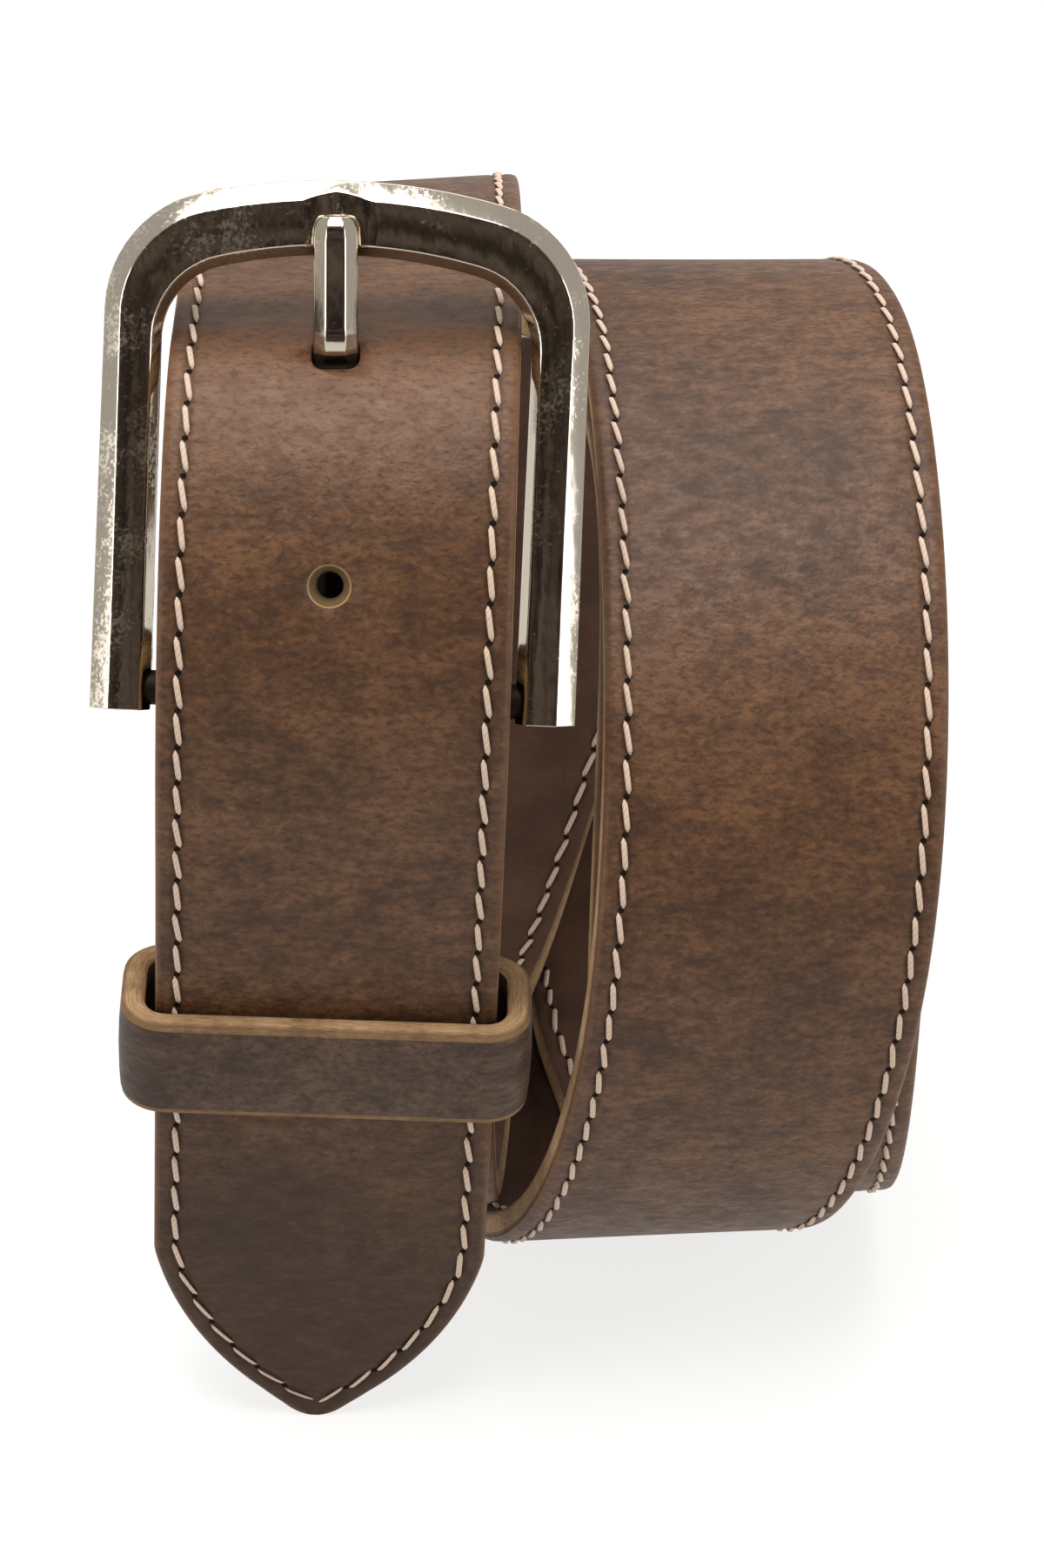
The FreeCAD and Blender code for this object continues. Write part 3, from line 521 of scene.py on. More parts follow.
GRAIN = grain_leather("strap_grain", (0.048, 0.0205, 0.0085), (0.086, 0.0375, 0.0155),
                      (0.134, 0.061, 0.026), True)
KEEPER_GRAIN = grain_leather("keeper_grain", (0.034, 0.0180, 0.0100), (0.058, 0.031, 0.0175),
                             (0.090, 0.049, 0.027), False)
FLESH = flesh_leather("strap_flesh", (0.050, 0.024, 0.014), (0.100, 0.048, 0.028))
EDGE = cut_edge("cut_edge", (0.15, 0.080, 0.034), (0.36, 0.215, 0.105), (0.56, 0.37, 0.20))
# Painted shade: a darker cut edge for the inside of the holes below their rim.
HOLE_SHADED_DEPTH = cut_edge("hole_depth_painted_shade", (0.10, 0.060, 0.026), (0.22, 0.135, 0.060), (0.32, 0.21, 0.10))
HOLE_WALL = cut_edge("hole_wall", (0.30, 0.175, 0.065), (0.52, 0.33, 0.14), (0.66, 0.46, 0.23))
# Painted shade: a near-black cut edge for the walls of the prong's slot and of the fold's slot.
SLOT_SHADE_WALL = cut_edge("slot_wall_painted_shade", (0.012, 0.007, 0.004), (0.030, 0.017, 0.009), (0.055, 0.032, 0.018))
THREAD = spun_thread("seam_thread", (0.56, 0.42, 0.32), (0.42, 0.31, 0.23))
PIT = dark_pit("stitch_hole")
NICKEL = worn_metal("dark_nickel", (0.50, 0.44, 0.36), 0.11, 0.20)
# Painted shade: near-black nickel for the heel bar and for the prong's hidden spans.
SHADE_DARK_NICKEL = worn_metal("nickel_painted_shade", (0.025, 0.019, 0.015), 0.6, 0.1)
RIVET_NICKEL = worn_metal("rivet_nickel", (0.55, 0.51, 0.46), 0.20, 0.2)

# ------------------------------------------------------------------ the strap
# Half of the strap's section: distance in from the edge and height above the outer face.
GRAIN_PROFILE = [(0.0, -1.05), (0.08, -0.55), (0.30, -0.22), (0.75, -0.05), (1.35, 0.0), (1.75, -0.07),
                 (2.10, -0.20), (2.40, -0.20), (2.75, -0.07), (3.3, 0.02), (4.6, 0.04)]
FLESH_PROFILE = [(0.0, -1.05), (0.10, -0.45), (0.35, -0.15), (0.9, -0.02), (1.6, 0.0), (2.05, -0.12),
                 (2.45, -0.12), (2.9, 0.0), (4.6, 0.0)]
INNER_STOPS = [0.75, 0.5, 0.25]
# Near its point the section is squeezed once it is narrower than this each side.
NARROW = 6.0
MAX_SLOPE = 2.2
EDGE_SWELL = 0.03


def section(s):
    """Closed ring of (x, height) round the strap at one distance from its point."""
    width = half_width(s)
    squeeze = min(1.0, width / NARROW)
    slope = 1.0
    if s < POINT_LENGTH:
        slope = min(MAX_SLOPE, SIDE_R / max(abs(half_width(s) - SIDE_X), 1e-3))

    def side_points(profile, top, sign):
        points = []
        for inset, height in profile:
            x = max(width - inset * slope * squeeze, 0.0)
            points.append((sign * x, height * squeeze if top else -THICK - height * squeeze))
        return points

    def middle_points(profile, top):
        edge_x = max(width - profile[-1][0] * slope * squeeze, 0.0)
        height = profile[-1][1] * squeeze if top else -THICK - profile[-1][1] * squeeze
        stops = INNER_STOPS + [0.0] + [-stop for stop in reversed(INNER_STOPS)]
        return [(edge_x * stop, height) for stop in stops]

    right_top = side_points(GRAIN_PROFILE, True, 1)
    left_top = side_points(GRAIN_PROFILE, True, -1)
    right_low = side_points(FLESH_PROFILE, False, 1)
    left_low = side_points(FLESH_PROFILE, False, -1)
    ring = right_top + middle_points(GRAIN_PROFILE, True) + left_top[::-1]
    ring += [(-width - EDGE_SWELL, -THICK / 2)]
    ring += left_low + [(-x, h) for x, h in middle_points(FLESH_PROFILE, False)] + right_low[::-1]
    ring += [(width + EDGE_SWELL, -THICK / 2)]
    return ring


RING = len(section(100.0))
TOP_COUNT = 2 * len(GRAIN_PROFILE) + 2 * len(INNER_STOPS) + 1
LOW_COUNT = 2 * len(FLESH_PROFILE) + 2 * len(INNER_STOPS) + 1
# Spans nearer the cut than these belong to the edge and not to the face.
GRAIN_SKIN, FLESH_SKIN = 1, 2
GRAIN_SIDE, FLESH_SIDE, CUT_SIDE = range(3)


def span_kind(j):
    """Material of the span from ring point j to the next."""
    if GRAIN_SKIN <= j < TOP_COUNT - 1 - GRAIN_SKIN:
        return GRAIN_SIDE
    low = j - TOP_COUNT - 1
    if FLESH_SKIN <= low < LOW_COUNT - 1 - FLESH_SKIN:
        return FLESH_SIDE
    return CUT_SIDE


def strap_rows():
    """Distances of the strap's rows: close together at the point, where its outline curves."""
    rows = [0.03, 0.12, 0.3, 0.55, 0.85, 1.15]
    rows += list(np.arange(1.5, POINT_LENGTH + 4, 0.6))
    rows += list(np.arange(rows[-1] + 0.8, STRAP_END - 0.4, 1.25))
    return rows + [STRAP_END]


def build_strap():
    distances = np.array(strap_rows())
    places, acrosses, outwards = sample(distances)
    vertices, strap_map, seam_map = [], [], []
    for s, place, across, outward in zip(distances, places, acrosses, outwards):
        for j, (x, height) in enumerate(section(s)):
            vertices.append(place + across * x + outward * height)
            strap_map.append((x * UV_SCALE, s * UV_SCALE))
            if GRAIN_SIDE in (span_kind(j), span_kind(j - 1)):
                seam_map.append((max(edge_distance(x, s), 0.0) * UV_SCALE, 0.0))
            else:
                seam_map.append((s * UV_SCALE, -height * UV_SCALE))
    kinds = [span_kind(j) for j in range(RING)] * (len(distances) - 1) + [CUT_SIDE] * 2
    piece = new_object("belt_strap", vertices, tube_faces(len(distances), RING),
                       [GRAIN, FLESH, EDGE, HOLE_WALL, HOLE_SHADED_DEPTH, SLOT_SHADE_WALL], kinds)
    add_map(piece, "strap", strap_map)
    add_map(piece, "seam", seam_map)
    return piece


# Rings of a hole's cutter, counted from the grain side, that show the pale torn rim; the rings below it get
# a darker colour as painted shade inside the hole.
RIM_RINGS = 2
CUTTER_SIDES = 48


def turned_cutter(radii, place, direction):
    """A round cutter with its axis along direction: radii are (distance along it, radius)."""
    side = direction.orthogonal().normalized()
    other = direction.cross(side)
    vertices = []
    for distance, radius in radii:
        for i in range(CUTTER_SIDES):
            angle = 2 * math.pi * i / CUTTER_SIDES
            vertices.append(place + direction * distance
                            + (side * math.cos(angle) + other * math.sin(angle)) * radius)
    faces = tube_faces(len(radii), CUTTER_SIDES)
    kinds = [0 if face // CUTTER_SIDES < RIM_RINGS else 1 for face in range(len(faces))]
    return new_object("cutter", vertices, faces, [HOLE_WALL, HOLE_SHADED_DEPTH], kinds)


# ------------------------------------------------------------------ buckle directions
BUCKLE_LEAN = math.radians(29.4)
FRAME_THICK, NOTCH_DEPTH, REST_GAP = 5.0, 0.8, 0.3
PRONG_WIDTH, PRONG_HEIGHT, PRONG_LENGTH, SHANK_OFFSET = 4.4, 3.2, 48.9, 0.9
CROWN, FRONT_BAR = 51.3, 7.4
up_frame = Vector((0, math.sin(BUCKLE_LEAN), math.cos(BUCKLE_LEAN)))
FRAME_UP = (up_frame - ACROSS * up_frame.dot(ACROSS)).normalized()
FRAME_OUT = ACROSS.cross(FRAME_UP)
prong_rise = FRAME_THICK / 2 - NOTCH_DEPTH + REST_GAP + PRONG_HEIGHT / 2 - SHANK_OFFSET
tilt = math.atan2(prong_rise, CROWN - FRONT_BAR / 2)
PRONG_UP = FRAME_UP * math.cos(tilt) + FRAME_OUT * math.sin(tilt)
PRONG_OUT = ACROSS.cross(PRONG_UP)
# The shank is bent sideways, so that its end lies left of the frame's middle.
PRONG_SKEW, PRONG_OFFSET = math.radians(2.0), 0.2
PRONG_ACROSS = ACROSS * math.cos(PRONG_SKEW) + PRONG_UP * math.sin(PRONG_SKEW)
PRONG_UP = PRONG_UP * math.cos(PRONG_SKEW) - ACROSS * math.sin(PRONG_SKEW)
PRONG_FOOT = HEEL + ACROSS * PRONG_OFFSET
GROOVE_X = PRONG_OFFSET - (CROWN - FRONT_BAR / 2) * math.sin(PRONG_SKEW)


def on_buckle(x, y, z):
    return HEEL + ACROSS * x + FRAME_UP * y + FRAME_OUT * z


def on_prong(x, y, z):
    return PRONG_FOOT + PRONG_ACROSS * x + PRONG_UP * y + PRONG_OUT * z


def on_ring(x, y, z):
    """A spot on the prong's ring, which sits square on the heel bar."""
    return PRONG_FOOT + ACROSS * x + ACROSS.cross(PRONG_OUT) * -y + PRONG_OUT * z


def block_cutter(place_of, low, high, corner):
    """A long block with rounded corners along its Y, in the buckle's or the prong's own axes."""
    outline = []
    for cx, cz, start in ((high[0], high[2], 0), (low[0], high[2], 90), (low[0], low[2], 180),
                          (high[0], low[2], 270)):
        for step in range(7):
            angle = math.radians(start + 15 * step)
            x = cx - math.copysign(corner, cx - (low[0] + high[0]) / 2) + corner * math.cos(angle)
            z = cz - math.copysign(corner, cz - (low[2] + high[2]) / 2) + corner * math.sin(angle)
            outline.append((x, z))
    vertices = [place_of(x, y, z) for y in (low[1], high[1]) for x, z in outline]
    # Its walls get the near-black painted shade.
    return new_object("cutter", vertices, tube_faces(2, len(outline)), [SLOT_SHADE_WALL])


def cut(piece, cutters):
    for cutter in cutters:
        for polygon in cutter.data.polygons:
            polygon.use_smooth = True
        modifier(piece, "BOOLEAN", operation="DIFFERENCE", object=cutter, solver="EXACT",
                 material_mode="TRANSFER")
    apply_modifiers(piece)
    for cutter in cutters:
        bpy.data.objects.remove(cutter)


HOLE_DISTANCES = [104.0, 154.0, 179.0, 204.0]
# The row of holes lies a little left of the strap's middle.
HOLE_SHIFT = -0.6
# Holes narrow below a torn rim: (distance out of the grain face, radius).
HOLE_SHAPE = [(1.0, 2.3), (0.02, 2.2), (-0.15, 2.02), (-0.75, 1.62), (-1.9, 1.35), (-4.5, 1.35)]
strap = build_strap()
cutters = []
for distance in HOLE_DISTANCES:
    places, acrosses, outwards = sample(np.array([distance]))
    mouth = Vector(places[0] + acrosses[0] * HOLE_SHIFT)
    cutters.append(turned_cutter(HOLE_SHAPE, mouth, Vector(outwards[0])))
# The prong's slot runs along the shank, with room at its sides and below it.
SLOT_SIDE_ROOM, SLOT_LOW_ROOM, SLOT_ROOF, SLOT_CORNER = 0.25, 0.45, -0.22, 1.2
SLOT_START, SLOT_END = 20.0, 45.0
slot_low = SHANK_OFFSET - PRONG_HEIGHT / 2 - SLOT_LOW_ROOM
slot_high = SHANK_OFFSET + PRONG_HEIGHT / 2 + SLOT_ROOF
slot_half = PRONG_WIDTH / 2 + SLOT_SIDE_ROOM
cutters.append(block_cutter(on_prong, (-slot_half, SLOT_START, slot_low), (slot_half, SLOT_END, slot_high),
                            SLOT_CORNER))


def on_fold(x, y, z):
    return HEEL + ACROSS * x + foot_along * y + foot_out * z


FOLD_SLOT_HALF, FOLD_SLOT_REACH, FOLD_SLOT_CORNER = 2.7, 6.5, 0.4
cutters.append(block_cutter(on_fold, (-FOLD_SLOT_HALF, -FOLD_SLOT_REACH, -FOLD_SLOT_REACH),
                            (FOLD_SLOT_HALF, FOLD_SLOT_REACH, FOLD_SLOT_REACH), FOLD_SLOT_CORNER))
cut(strap, cutters)
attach(strap, "strap")
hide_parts("strap_tip_run", "strap_outer_turn", "strap_middle_turn", "strap_inner_turn",
            "strap_fold")

# ------------------------------------------------------------------ the seam
STITCH_PITCH = 3.95
STITCH_LENGTH = 3.45
THREAD_HALF_WIDTH, THREAD_HALF_HEIGHT, THREAD_RISE = 0.30, 0.20, 0.08
STITCH_SLANT = 0.15
# Depth of the furrow that the seam lies in, on the grain side and on the flesh side.
GRAIN_FURROW, FLESH_FURROW = 0.15, 0.10
SEAM_END = 1078.0
STITCH_RINGS, STITCH_SIDES = 9, 8
SEAM_X = HALF - SEAM_INSET
seam_radius = SIDE_R - SEAM_INSET
JOIN_S = SIDE_S + math.sqrt(max(seam_radius ** 2 - (SEAM_X - SIDE_X) ** 2, 0.0))
JOIN_S = min(JOIN_S, POINT_LENGTH)


def seam_place(run):
    """(x, s) on the right-hand seam at a distance run along it from its apex at the point."""
    apex = math.acos(max(-1.0, min(1.0, -SIDE_X / seam_radius)))
    start = -apex
    end = math.asin((JOIN_S - SIDE_S) / seam_radius)
    arc = seam_radius * (end - start)
    if run < arc:
        angle = start + run / seam_radius
        return SIDE_X + seam_radius * math.cos(angle), SIDE_S + seam_radius * math.sin(angle)
    return SEAM_X, JOIN_S + run - arc


def seam_spots():
    """Ends of every stitch along one seam, as (x, s) pairs of the right-hand seam."""
    spots, run = [], 0.0
    while True:
        spot = seam_place(run)
        if spot[1] > SEAM_END:
            return spots
        spots.append(spot)
        run += STITCH_PITCH


def build_seams():
    spots = seam_spots()
    stitch_v, stitch_f, stitch_uv = [], [], []
    pit_v, pit_f = [], []
    for mirror in (1, -1):
        for face in (1, -1):
            ends = [(mirror * x, s) for x, s in spots]
            distances = np.array([s for _, s in ends])
            for first, second in zip(ends, ends[1:]):
                add_stitch(stitch_v, stitch_f, stitch_uv, first, second, face)
            places, acrosses, outwards = sample(distances)
            for (x, s), place, across, outward in zip(ends, places, acrosses, outwards):
                add_pit(pit_v, pit_f, x, place, across, outward, face)
    seam = new_object("seam_stitches", stitch_v, stitch_f, [THREAD])
    add_map(seam, "strap", stitch_uv)
    return seam, new_object("stitch_holes", pit_v, pit_f, [PIT])


def surface(x, place, across, outward, face, height):
    """A spot above the grain face (face 1) or above the flesh face (face -1), never below the floor."""
    level = height - GRAIN_FURROW if face == 1 else FLESH_FURROW - THICK - height
    spot = place + across * x + outward * level
    spot[2] = max(spot[2], 0.0)
    return spot


def add_stitch(vertices, faces, uvs, first, second, face):
    """One slanted stitch between two needle holes, thinner and lower at its ends."""
    (x0, s0), (x1, s1) = first, second
    length = math.hypot(x1 - x0, s1 - s0)
    ux, us = (x1 - x0) / length, (s1 - s0) / length
    slant = STITCH_SLANT * random.uniform(0.7, 1.3)
    dx, ds = ux - slant * us, us + slant * ux
    mid_x, mid_s = (x0 + x1) / 2, (s0 + s1) / 2
    half = STITCH_LENGTH / 2 * random.uniform(0.97, 1.03)
    base = len(vertices)
    marks = np.linspace(-1.0, 1.0, STITCH_RINGS)
    places, acrosses, outwards = sample(mid_s + ds * half * marks)
    for mark, place, across, outward in zip(marks, places, acrosses, outwards):
        taper = math.sqrt(max(1.0 - abs(mark) ** 6, 0.0)) * 0.8 + 0.2
        lift = THREAD_RISE + THREAD_HALF_HEIGHT * (1.0 - 1.3 * abs(mark) ** 4)
        x = mid_x + dx * half * mark
        for side in range(STITCH_SIDES):
            angle = 2 * math.pi * side / STITCH_SIDES
            sideways = math.cos(angle) * THREAD_HALF_WIDTH * taper
            upward = math.sin(angle) * THREAD_HALF_HEIGHT * taper
            spot = surface(x + sideways * ds, place, across, outward, face, lift + upward)
            vertices.append(spot)
            uvs.append((mark + 1, side / STITCH_SIDES))
    faces += tube_faces(STITCH_RINGS, STITCH_SIDES, base)


PIT_SIDES, PIT_RADIUS = 8, 0.34


def add_pit(vertices, faces, x, place, across, outward, face):
    """The dark needle hole between two stitches: a shallow dish."""
    along = np.cross(outward, across)
    base = len(vertices)
    for radius, height in ((PIT_RADIUS, 0.035), (PIT_RADIUS * 0.4, 0.05)):
        for side in range(PIT_SIDES):
            angle = 2 * math.pi * side / PIT_SIDES
            spot = surface(x + radius * math.cos(angle), place, across, outward, face, height)
            vertices.append(spot + along * (radius * 0.85 * math.sin(angle)))
    for side in range(PIT_SIDES):
        k = (side + 1) % PIT_SIDES
        faces.append((base + side, base + k, base + PIT_SIDES + k, base + PIT_SIDES + side))
    faces.append(tuple(base + PIT_SIDES + side for side in range(PIT_SIDES)))


seam, pits = build_seams()
for piece in (seam, pits):
    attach(piece, "strap")

# ------------------------------------------------------------------ buckle frame
FRAME_HALF, LEG, TAPER, FOOT_Y = 24.4, 6.1, 0.2, -2.2
OUTER_LINE = [(FRAME_HALF, FOOT_Y), (FRAME_HALF - TAPER, 38.0), (21.3, 45.6), (15.0, 49.5), (0.0, CROWN)]
INNER_LINE = [(FRAME_HALF - LEG, FOOT_Y), (FRAME_HALF - LEG + TAPER, 34.6), (17.0, 39.5), (12.5, 42.4),
              (0.0, CROWN - FRONT_BAR)]
LEG_STEPS, BEND_STEPS, TOP_STEPS = 14, 12, 18


def arc_points(start, through, end, steps):
    cx, cy, radius = circle_through(start, through, end)
    first = math.atan2(start[1] - cy, start[0] - cx)
    last = math.atan2(end[1] - cy, end[0] - cx)
    if last < first:
        last += 2 * math.pi
    return [(cx + radius * math.cos(first + (last - first) * i / steps),
             cy + radius * math.sin(first + (last - first) * i / steps)) for i in range(1, steps + 1)]


def half_outline(corners):
    """From the foot of the right leg to the middle of the front bar."""
    foot_corner, side, bend, top, crown = corners
    points = [(foot_corner[0] + (side[0] - foot_corner[0]) * i / LEG_STEPS,
               foot_corner[1] + (side[1] - foot_corner[1]) * i / LEG_STEPS) for i in range(LEG_STEPS + 1)]
    points += arc_points(side, bend, top, BEND_STEPS)
    crown_arc = arc_points(top, crown, (-top[0], top[1]), 2 * TOP_STEPS)
    return points + crown_arc[:TOP_STEPS]


# The prong rests in a groove across the front bar, which fades out this far each side of it.
GROOVE_REACH = 3.4


def frame_section(width, near_prong):
    """Points round the frame's section: distance in from the outer edge, and height."""
    half = FRAME_THICK / 2
    notch = NOTCH_DEPTH * near_prong
    outer, inner = 1.95 - 0.9 * near_prong, width - 0.8
    middle = (outer + inner) / 2
    return [(1.0, -half), (0.0, -half + 1.0), (0.0, half - 1.6), (0.9, half - 0.85),
            (outer, half - 0.12 - notch * 0.6), (middle, half - notch), (inner - 0.25, half - 0.14 - notch),
            (inner, half - 0.35 - notch * 0.8), (width, half - 1.5), (width, -half + 1.0),
            (width - 1.0, -half)]


def build_frame():
    outer, inner = half_outline(OUTER_LINE), half_outline(INNER_LINE)
    outer += [(-x, y) for x, y in reversed(outer[:-1])]
    inner += [(-x, y) for x, y in reversed(inner[:-1])]
    vertices = []
    for (ox, oy), (ix, iy) in zip(outer, inner):
        width = math.hypot(ix - ox, iy - oy)
        near_prong = max(0.0, 1.0 - abs(ox - GROOVE_X) / GROOVE_REACH) ** 0.7
        for inset, height in frame_section(width, near_prong):
            share = inset / width
            vertices.append(on_buckle(ox + (ix - ox) * share, oy + (iy - oy) * share, height))
    faces = tube_faces(len(outer), len(frame_section(LEG, 0.0)))
    piece = new_object("buckle_frame_finish", vertices, faces, [NICKEL])
    modifier(piece, "BEVEL", width=0.22 * MM, segments=3, limit_method="ANGLE",
             angle_limit=math.radians(15), harden_normals=True)
    apply_modifiers(piece)
    return piece


buckle = build_frame()
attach(buckle, "frame")
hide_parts("buckle_frame")

# ------------------------------------------------------------------ prong
PRONG_RING = 3.5
# Spans of the shank that lie behind the strap, given near-black nickel as painted shade.
HIDDEN_SPANS = 3
# The shank is thinner where it goes down into its hole: fully so from DIP_START - DIP_LENGTH down.
PRONG_DIP, DIP_START, DIP_LENGTH = 1.45, 36.6, 3.4
RING_STEPS = 40


def build_shank():
    low, high = SHANK_OFFSET - PRONG_HEIGHT / 2, SHANK_OFFSET + PRONG_HEIGHT / 2
    half = PRONG_WIDTH / 2
    middle = low + 0.35 * PRONG_HEIGHT
    outline = [(-half + 0.5, low), (-half, low + 0.5), (-half, high - 1.35), (-half + 1.25, high),
               (half - 1.25, high), (half, high - 1.35), (half, low + 0.5), (half - 0.5, low)]
    # Distances from the heel bar with the section's scale there; the end is rounded off.
    marks = [(y, 1.0) for y in (2.0, 8.0, 20.0, 29.0, 33.2, 34.0, 34.8, 35.6, 36.3, 37.0, 40.0)]
    marks += [(PRONG_LENGTH - short, scale)
              for short, scale in ((3.4, 1.0), (2.2, 0.95), (1.5, 0.82), (1.0, 0.6))]
    vertices = []
    for y, scale in marks:
        share = min(max((DIP_START - y) / DIP_LENGTH, 0.0), 1.0)
        for x, z in outline:
            dip = PRONG_DIP * share ** 2 * (z - low) / PRONG_HEIGHT
            vertices.append(on_prong(x * scale, y, middle + (z - middle) * scale - dip))
    faces = tube_faces(len(marks), len(outline))
    kinds = [1 if face < HIDDEN_SPANS * len(outline) else 0 for face in range(len(faces))]
    shank = new_object("prong_finish", vertices, faces, [NICKEL, SHADE_DARK_NICKEL], kinds)
    modifier(shank, "BEVEL", width=0.28 * MM, segments=3, limit_method="ANGLE",
             angle_limit=math.radians(25), harden_normals=True)
    apply_modifiers(shank)
    return shank


def build_prong_ring():
    half = PRONG_WIDTH / 2
    bore = BAR_RADIUS + 0.15
    profile = [(-half, bore), (-half, PRONG_RING - 0.3), (-half + 0.3, PRONG_RING),
               (half - 0.3, PRONG_RING), (half, PRONG_RING - 0.3), (half, bore)]
    size = len(profile)
    vertices, faces = [], []
    for i in range(RING_STEPS):
        angle = 2 * math.pi * i / RING_STEPS
        for x, radius in profile:
            vertices.append(on_ring(x, radius * math.cos(angle), radius * math.sin(angle)))
        a, b = i * size, ((i + 1) % RING_STEPS) * size
        for j in range(size):
            k = (j + 1) % size
            faces.append((a + j, b + j, b + k, a + k))
    return new_object("prong_ring_finish", vertices, faces, [NICKEL], smooth=False)


prong, prong_ring = build_shank(), build_prong_ring()
for piece in (prong, prong_ring):
    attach(piece, "prong")
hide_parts("prong")

# ------------------------------------------------------------------ keeper loop
KEEPER_MIDDLE, KEEPER_HEIGHT, KEEPER_LEATHER, KEEPER_CORNER = 49.4, 11.8, 2.5, 2.3
KEEPER_INNER_X, KEEPER_INNER_Y, SEAM_GAP = 18.6, 4.7, 0.3
keeper_spot, keeper_across, keeper_along, keeper_out = strap_frame(0, KEEPER_MIDDLE / ROUTE[1][2])
keeper_centre = keeper_spot - keeper_out * ((THICK + LAYER) / 2)


def build_keeper():
    """A strip of leather bent round the two layers, its ends meeting at the back."""
    line = []

    def walk(x, y, nx, ny):
        line.append((x, y, nx, ny))

    inner_x, inner_y, corner = KEEPER_INNER_X, KEEPER_INNER_Y, KEEPER_CORNER
    straight_x, straight_y = inner_x - corner, inner_y - corner
    for i in range(10):
        walk(SEAM_GAP / 2 + (straight_x - SEAM_GAP / 2) * i / 10, inner_y, 0, 1)
    for sx, sy, start in ((1, 1, 90), (1, -1, 0), (-1, -1, -90), (-1, 1, -180)):
        for i in range(11):
            angle = math.radians(start - 9 * i)
            walk(sx * straight_x + corner * math.cos(angle), sy * straight_y + corner * math.sin(angle),
                 math.cos(angle), math.sin(angle))
        if (sx, sy) == (1, -1):
            for i in range(1, 24):
                walk(straight_x - 2 * straight_x * i / 24, -inner_y, 0, -1)
    for i in range(1, 11):
        walk(-straight_x + (straight_x - SEAM_GAP / 2) * i / 10, inner_y, 0, 1)
    half = KEEPER_HEIGHT / 2
    top = KEEPER_LEATHER
    profile = [(-half + 0.9, top), (-half + 0.35, top - 0.12), (-half + 0.05, top - 0.55), (-half, top / 2),
               (-half + 0.06, 0.5), (-half + 0.5, 0.0), (-half / 2, 0.0), (0, 0.0), (half / 2, 0.0),
               (half - 0.5, 0.0), (half - 0.06, 0.5), (half, top / 2), (half - 0.05, top - 0.55),
               (half - 0.35, top - 0.12), (half - 0.9, top), (half / 2, top + 0.14), (0, top + 0.2),
               (-half / 2, top + 0.14)]
    kinds_of = [CUT_SIDE] * 5 + [FLESH_SIDE] * 4 + [CUT_SIDE] * 5 + [GRAIN_SIDE] * 4
    vertices, strap_map, seam_map = [], [], []
    run, before = 0.0, line[0]
    for x, y, nx, ny in line:
        run += math.hypot(x - before[0], y - before[1])
        before = (x, y, nx, ny)
        for rise, out in profile:
            spot = (keeper_centre + keeper_across * (x + nx * out) - keeper_out * (y + ny * out)
                    + keeper_along * rise)
            vertices.append(spot)
            strap_map.append((run * 1.15 * UV_SCALE, rise * UV_SCALE))
            seam_map.append((run * UV_SCALE, (top - out) * UV_SCALE))
    kinds = kinds_of * (len(line) - 1) + [CUT_SIDE] * 2
    piece = new_object("keeper_leather_loop", vertices, tube_faces(len(line), len(profile)),
                       [KEEPER_GRAIN, FLESH, EDGE], kinds)
    add_map(piece, "strap", strap_map)
    add_map(piece, "seam", seam_map)
    return piece


keeper = build_keeper()
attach(keeper, "keeper")
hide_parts("keeper_loop")

# ------------------------------------------------------------------ CAD pieces that keep their shape
# The heel bar gets the near-black nickel as painted shade.
for node, material in (("heel_bar", SHADE_DARK_NICKEL), ("fold_rivet_posts", RIVET_NICKEL),
                       ("fold_rivet_caps", RIVET_NICKEL), ("keeper_staple", RIVET_NICKEL)):
    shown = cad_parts[node]
    for slot in shown.material_slots:
        slot.material = material

# ------------------------------------------------------------------ floor, light and camera
FLOOR_HALF, FLOOR_DROP = 900.0, 0.05


def build_floor():
    n = Nodes("floor_paper")
    place = n.add("ShaderNodeTexCoord").outputs["Object"]
    colour = n.ramp(n.noise(place, 3.0, 2.0), [(0.3, (0.21, 0.21, 0.205)), (0.7, (0.23, 0.23, 0.225))])
    n.finish(colour, 0.9, Specular_IOR_Level=0.1, Emission_Color=(1.0, 1.0, 0.99, 1.0),
             Emission_Strength=0.78)
    corners = [(x * FLOOR_HALF, y * FLOOR_HALF, -FLOOR_DROP)
               for x, y in ((-1, -1), (1, -1), (1, 1), (-1, 1))]
    return new_object("studio_floor", corners, [(0, 1, 2, 3)], [n.material])


build_floor()


def area_light(name, place, target, size, power):
    data = bpy.data.lights.new(name, "AREA")
    data.shape = "RECTANGLE"
    data.size, data.size_y = size
    data.energy = power
    lamp = bpy.data.objects.new(name, data)
    lamp.location = place
    lamp.rotation_euler = (Vector(target) - Vector(place)).to_track_quat("-Z", "Y").to_euler()
    bpy.context.scene.collection.objects.link(lamp)


area_light("overhead_softbox", (-0.08, -0.06, 1.25), (0, 0, 0.05), (0.9, 0.7), 15.5)
area_light("back_softbox", (0.0, 0.75, 1.05), (0, 0, 0.08), (1.0, 0.5), 5.0)
area_light("left_softbox", (-1.0, -0.55, 0.45), (0, 0, 0.06), (0.5, 0.8), 5.0)
area_light("right_softbox", (1.0, -0.5, 0.45), (0, 0, 0.06), (0.5, 0.8), 5.0)


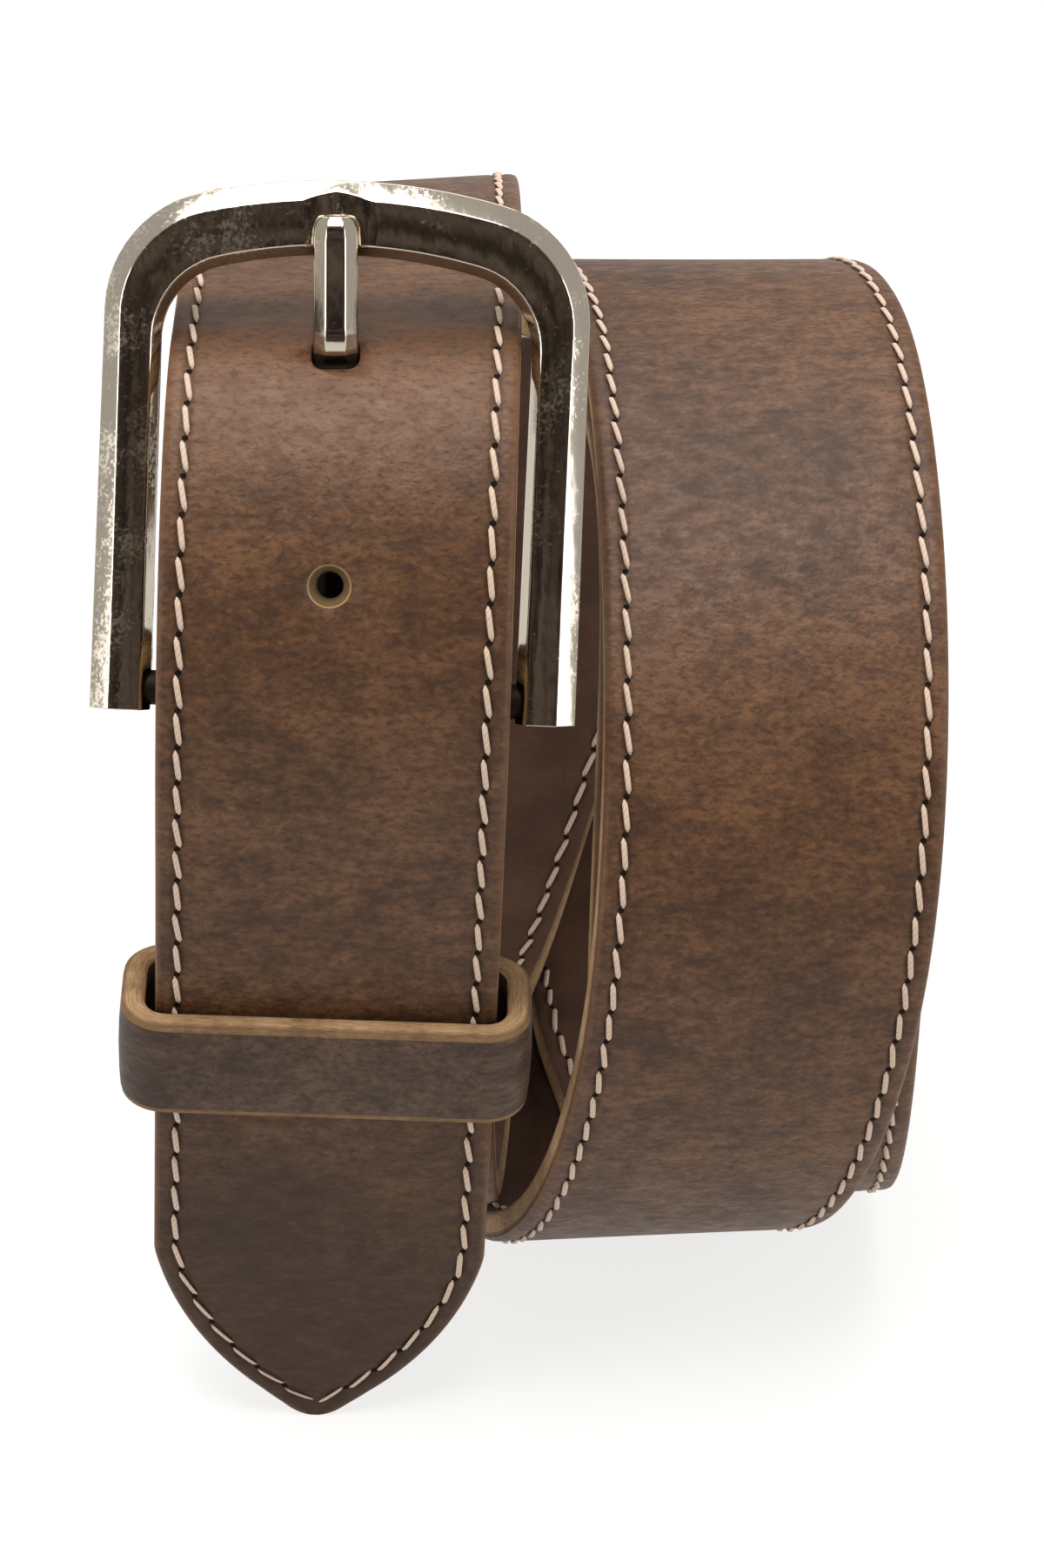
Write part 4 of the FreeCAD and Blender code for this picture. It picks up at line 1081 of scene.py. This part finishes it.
def build_world():
    """Pale studio all round, with a dark stand in front of the object for the metal to reflect."""
    world = bpy.data.worlds.new("studio")
    bpy.context.scene.world = world
    world.use_nodes = True
    tree = world.node_tree
    background = tree.nodes["Background"]
    where = tree.nodes.new("ShaderNodeTexCoord")
    facing = tree.nodes.new("ShaderNodeVectorMath")
    facing.operation = "DOT_PRODUCT"
    facing.inputs[1].default_value = (0.0, -0.93, 0.37)
    tree.links.new(where.outputs["Generated"], facing.inputs[0])
    fade = tree.nodes.new("ShaderNodeMapRange")
    fade.inputs["From Min"].default_value, fade.inputs["From Max"].default_value = 0.40, 0.86
    tree.links.new(facing.outputs["Value"], fade.inputs["Value"])
    # The stand is patchy, so that flat metal shows more than one even tone.
    cloth = tree.nodes.new("ShaderNodeTexNoise")
    cloth.inputs["Scale"].default_value = 16.0
    tree.links.new(where.outputs["Generated"], cloth.inputs["Vector"])
    patches = tree.nodes.new("ShaderNodeValToRGB")
    tree.links.new(cloth.outputs["Fac"], patches.inputs["Fac"])
    stops = patches.color_ramp.elements
    stops[0].position, stops[0].color = 0.46, (0.015, 0.012, 0.010, 1)
    stops[1].position, stops[1].color = 0.66, (0.27, 0.215, 0.18, 1)
    blend = tree.nodes.new("ShaderNodeMix")
    blend.data_type = "RGBA"
    colours = [socket for socket in blend.inputs if socket.type == "RGBA"]
    colours[0].default_value = (0.80, 0.80, 0.79, 1)
    tree.links.new(fade.outputs["Result"], blend.inputs[0])
    tree.links.new(patches.outputs["Color"], colours[1])
    tree.links.new([socket for socket in blend.outputs if socket.type == "RGBA"][0],
                   background.inputs["Color"])
    background.inputs["Strength"].default_value = 0.8


build_world()

CAMERA_PLACE = (0.00007, -0.47903, 0.38210)
CAMERA_ELEVATION = 35.2
camera_data = bpy.data.cameras.new("camera")
camera_data.lens = 119.9
camera_data.sensor_width = 36.0
camera_data.sensor_fit = "AUTO"
camera_data.clip_start = 0.01
camera = bpy.data.objects.new("camera", camera_data)
camera.location = CAMERA_PLACE
camera.rotation_euler = (math.radians(90 - CAMERA_ELEVATION), 0, 0)
bpy.context.scene.collection.objects.link(camera)
bpy.context.scene.camera = camera
bpy.context.scene.view_settings.view_transform = "Standard"
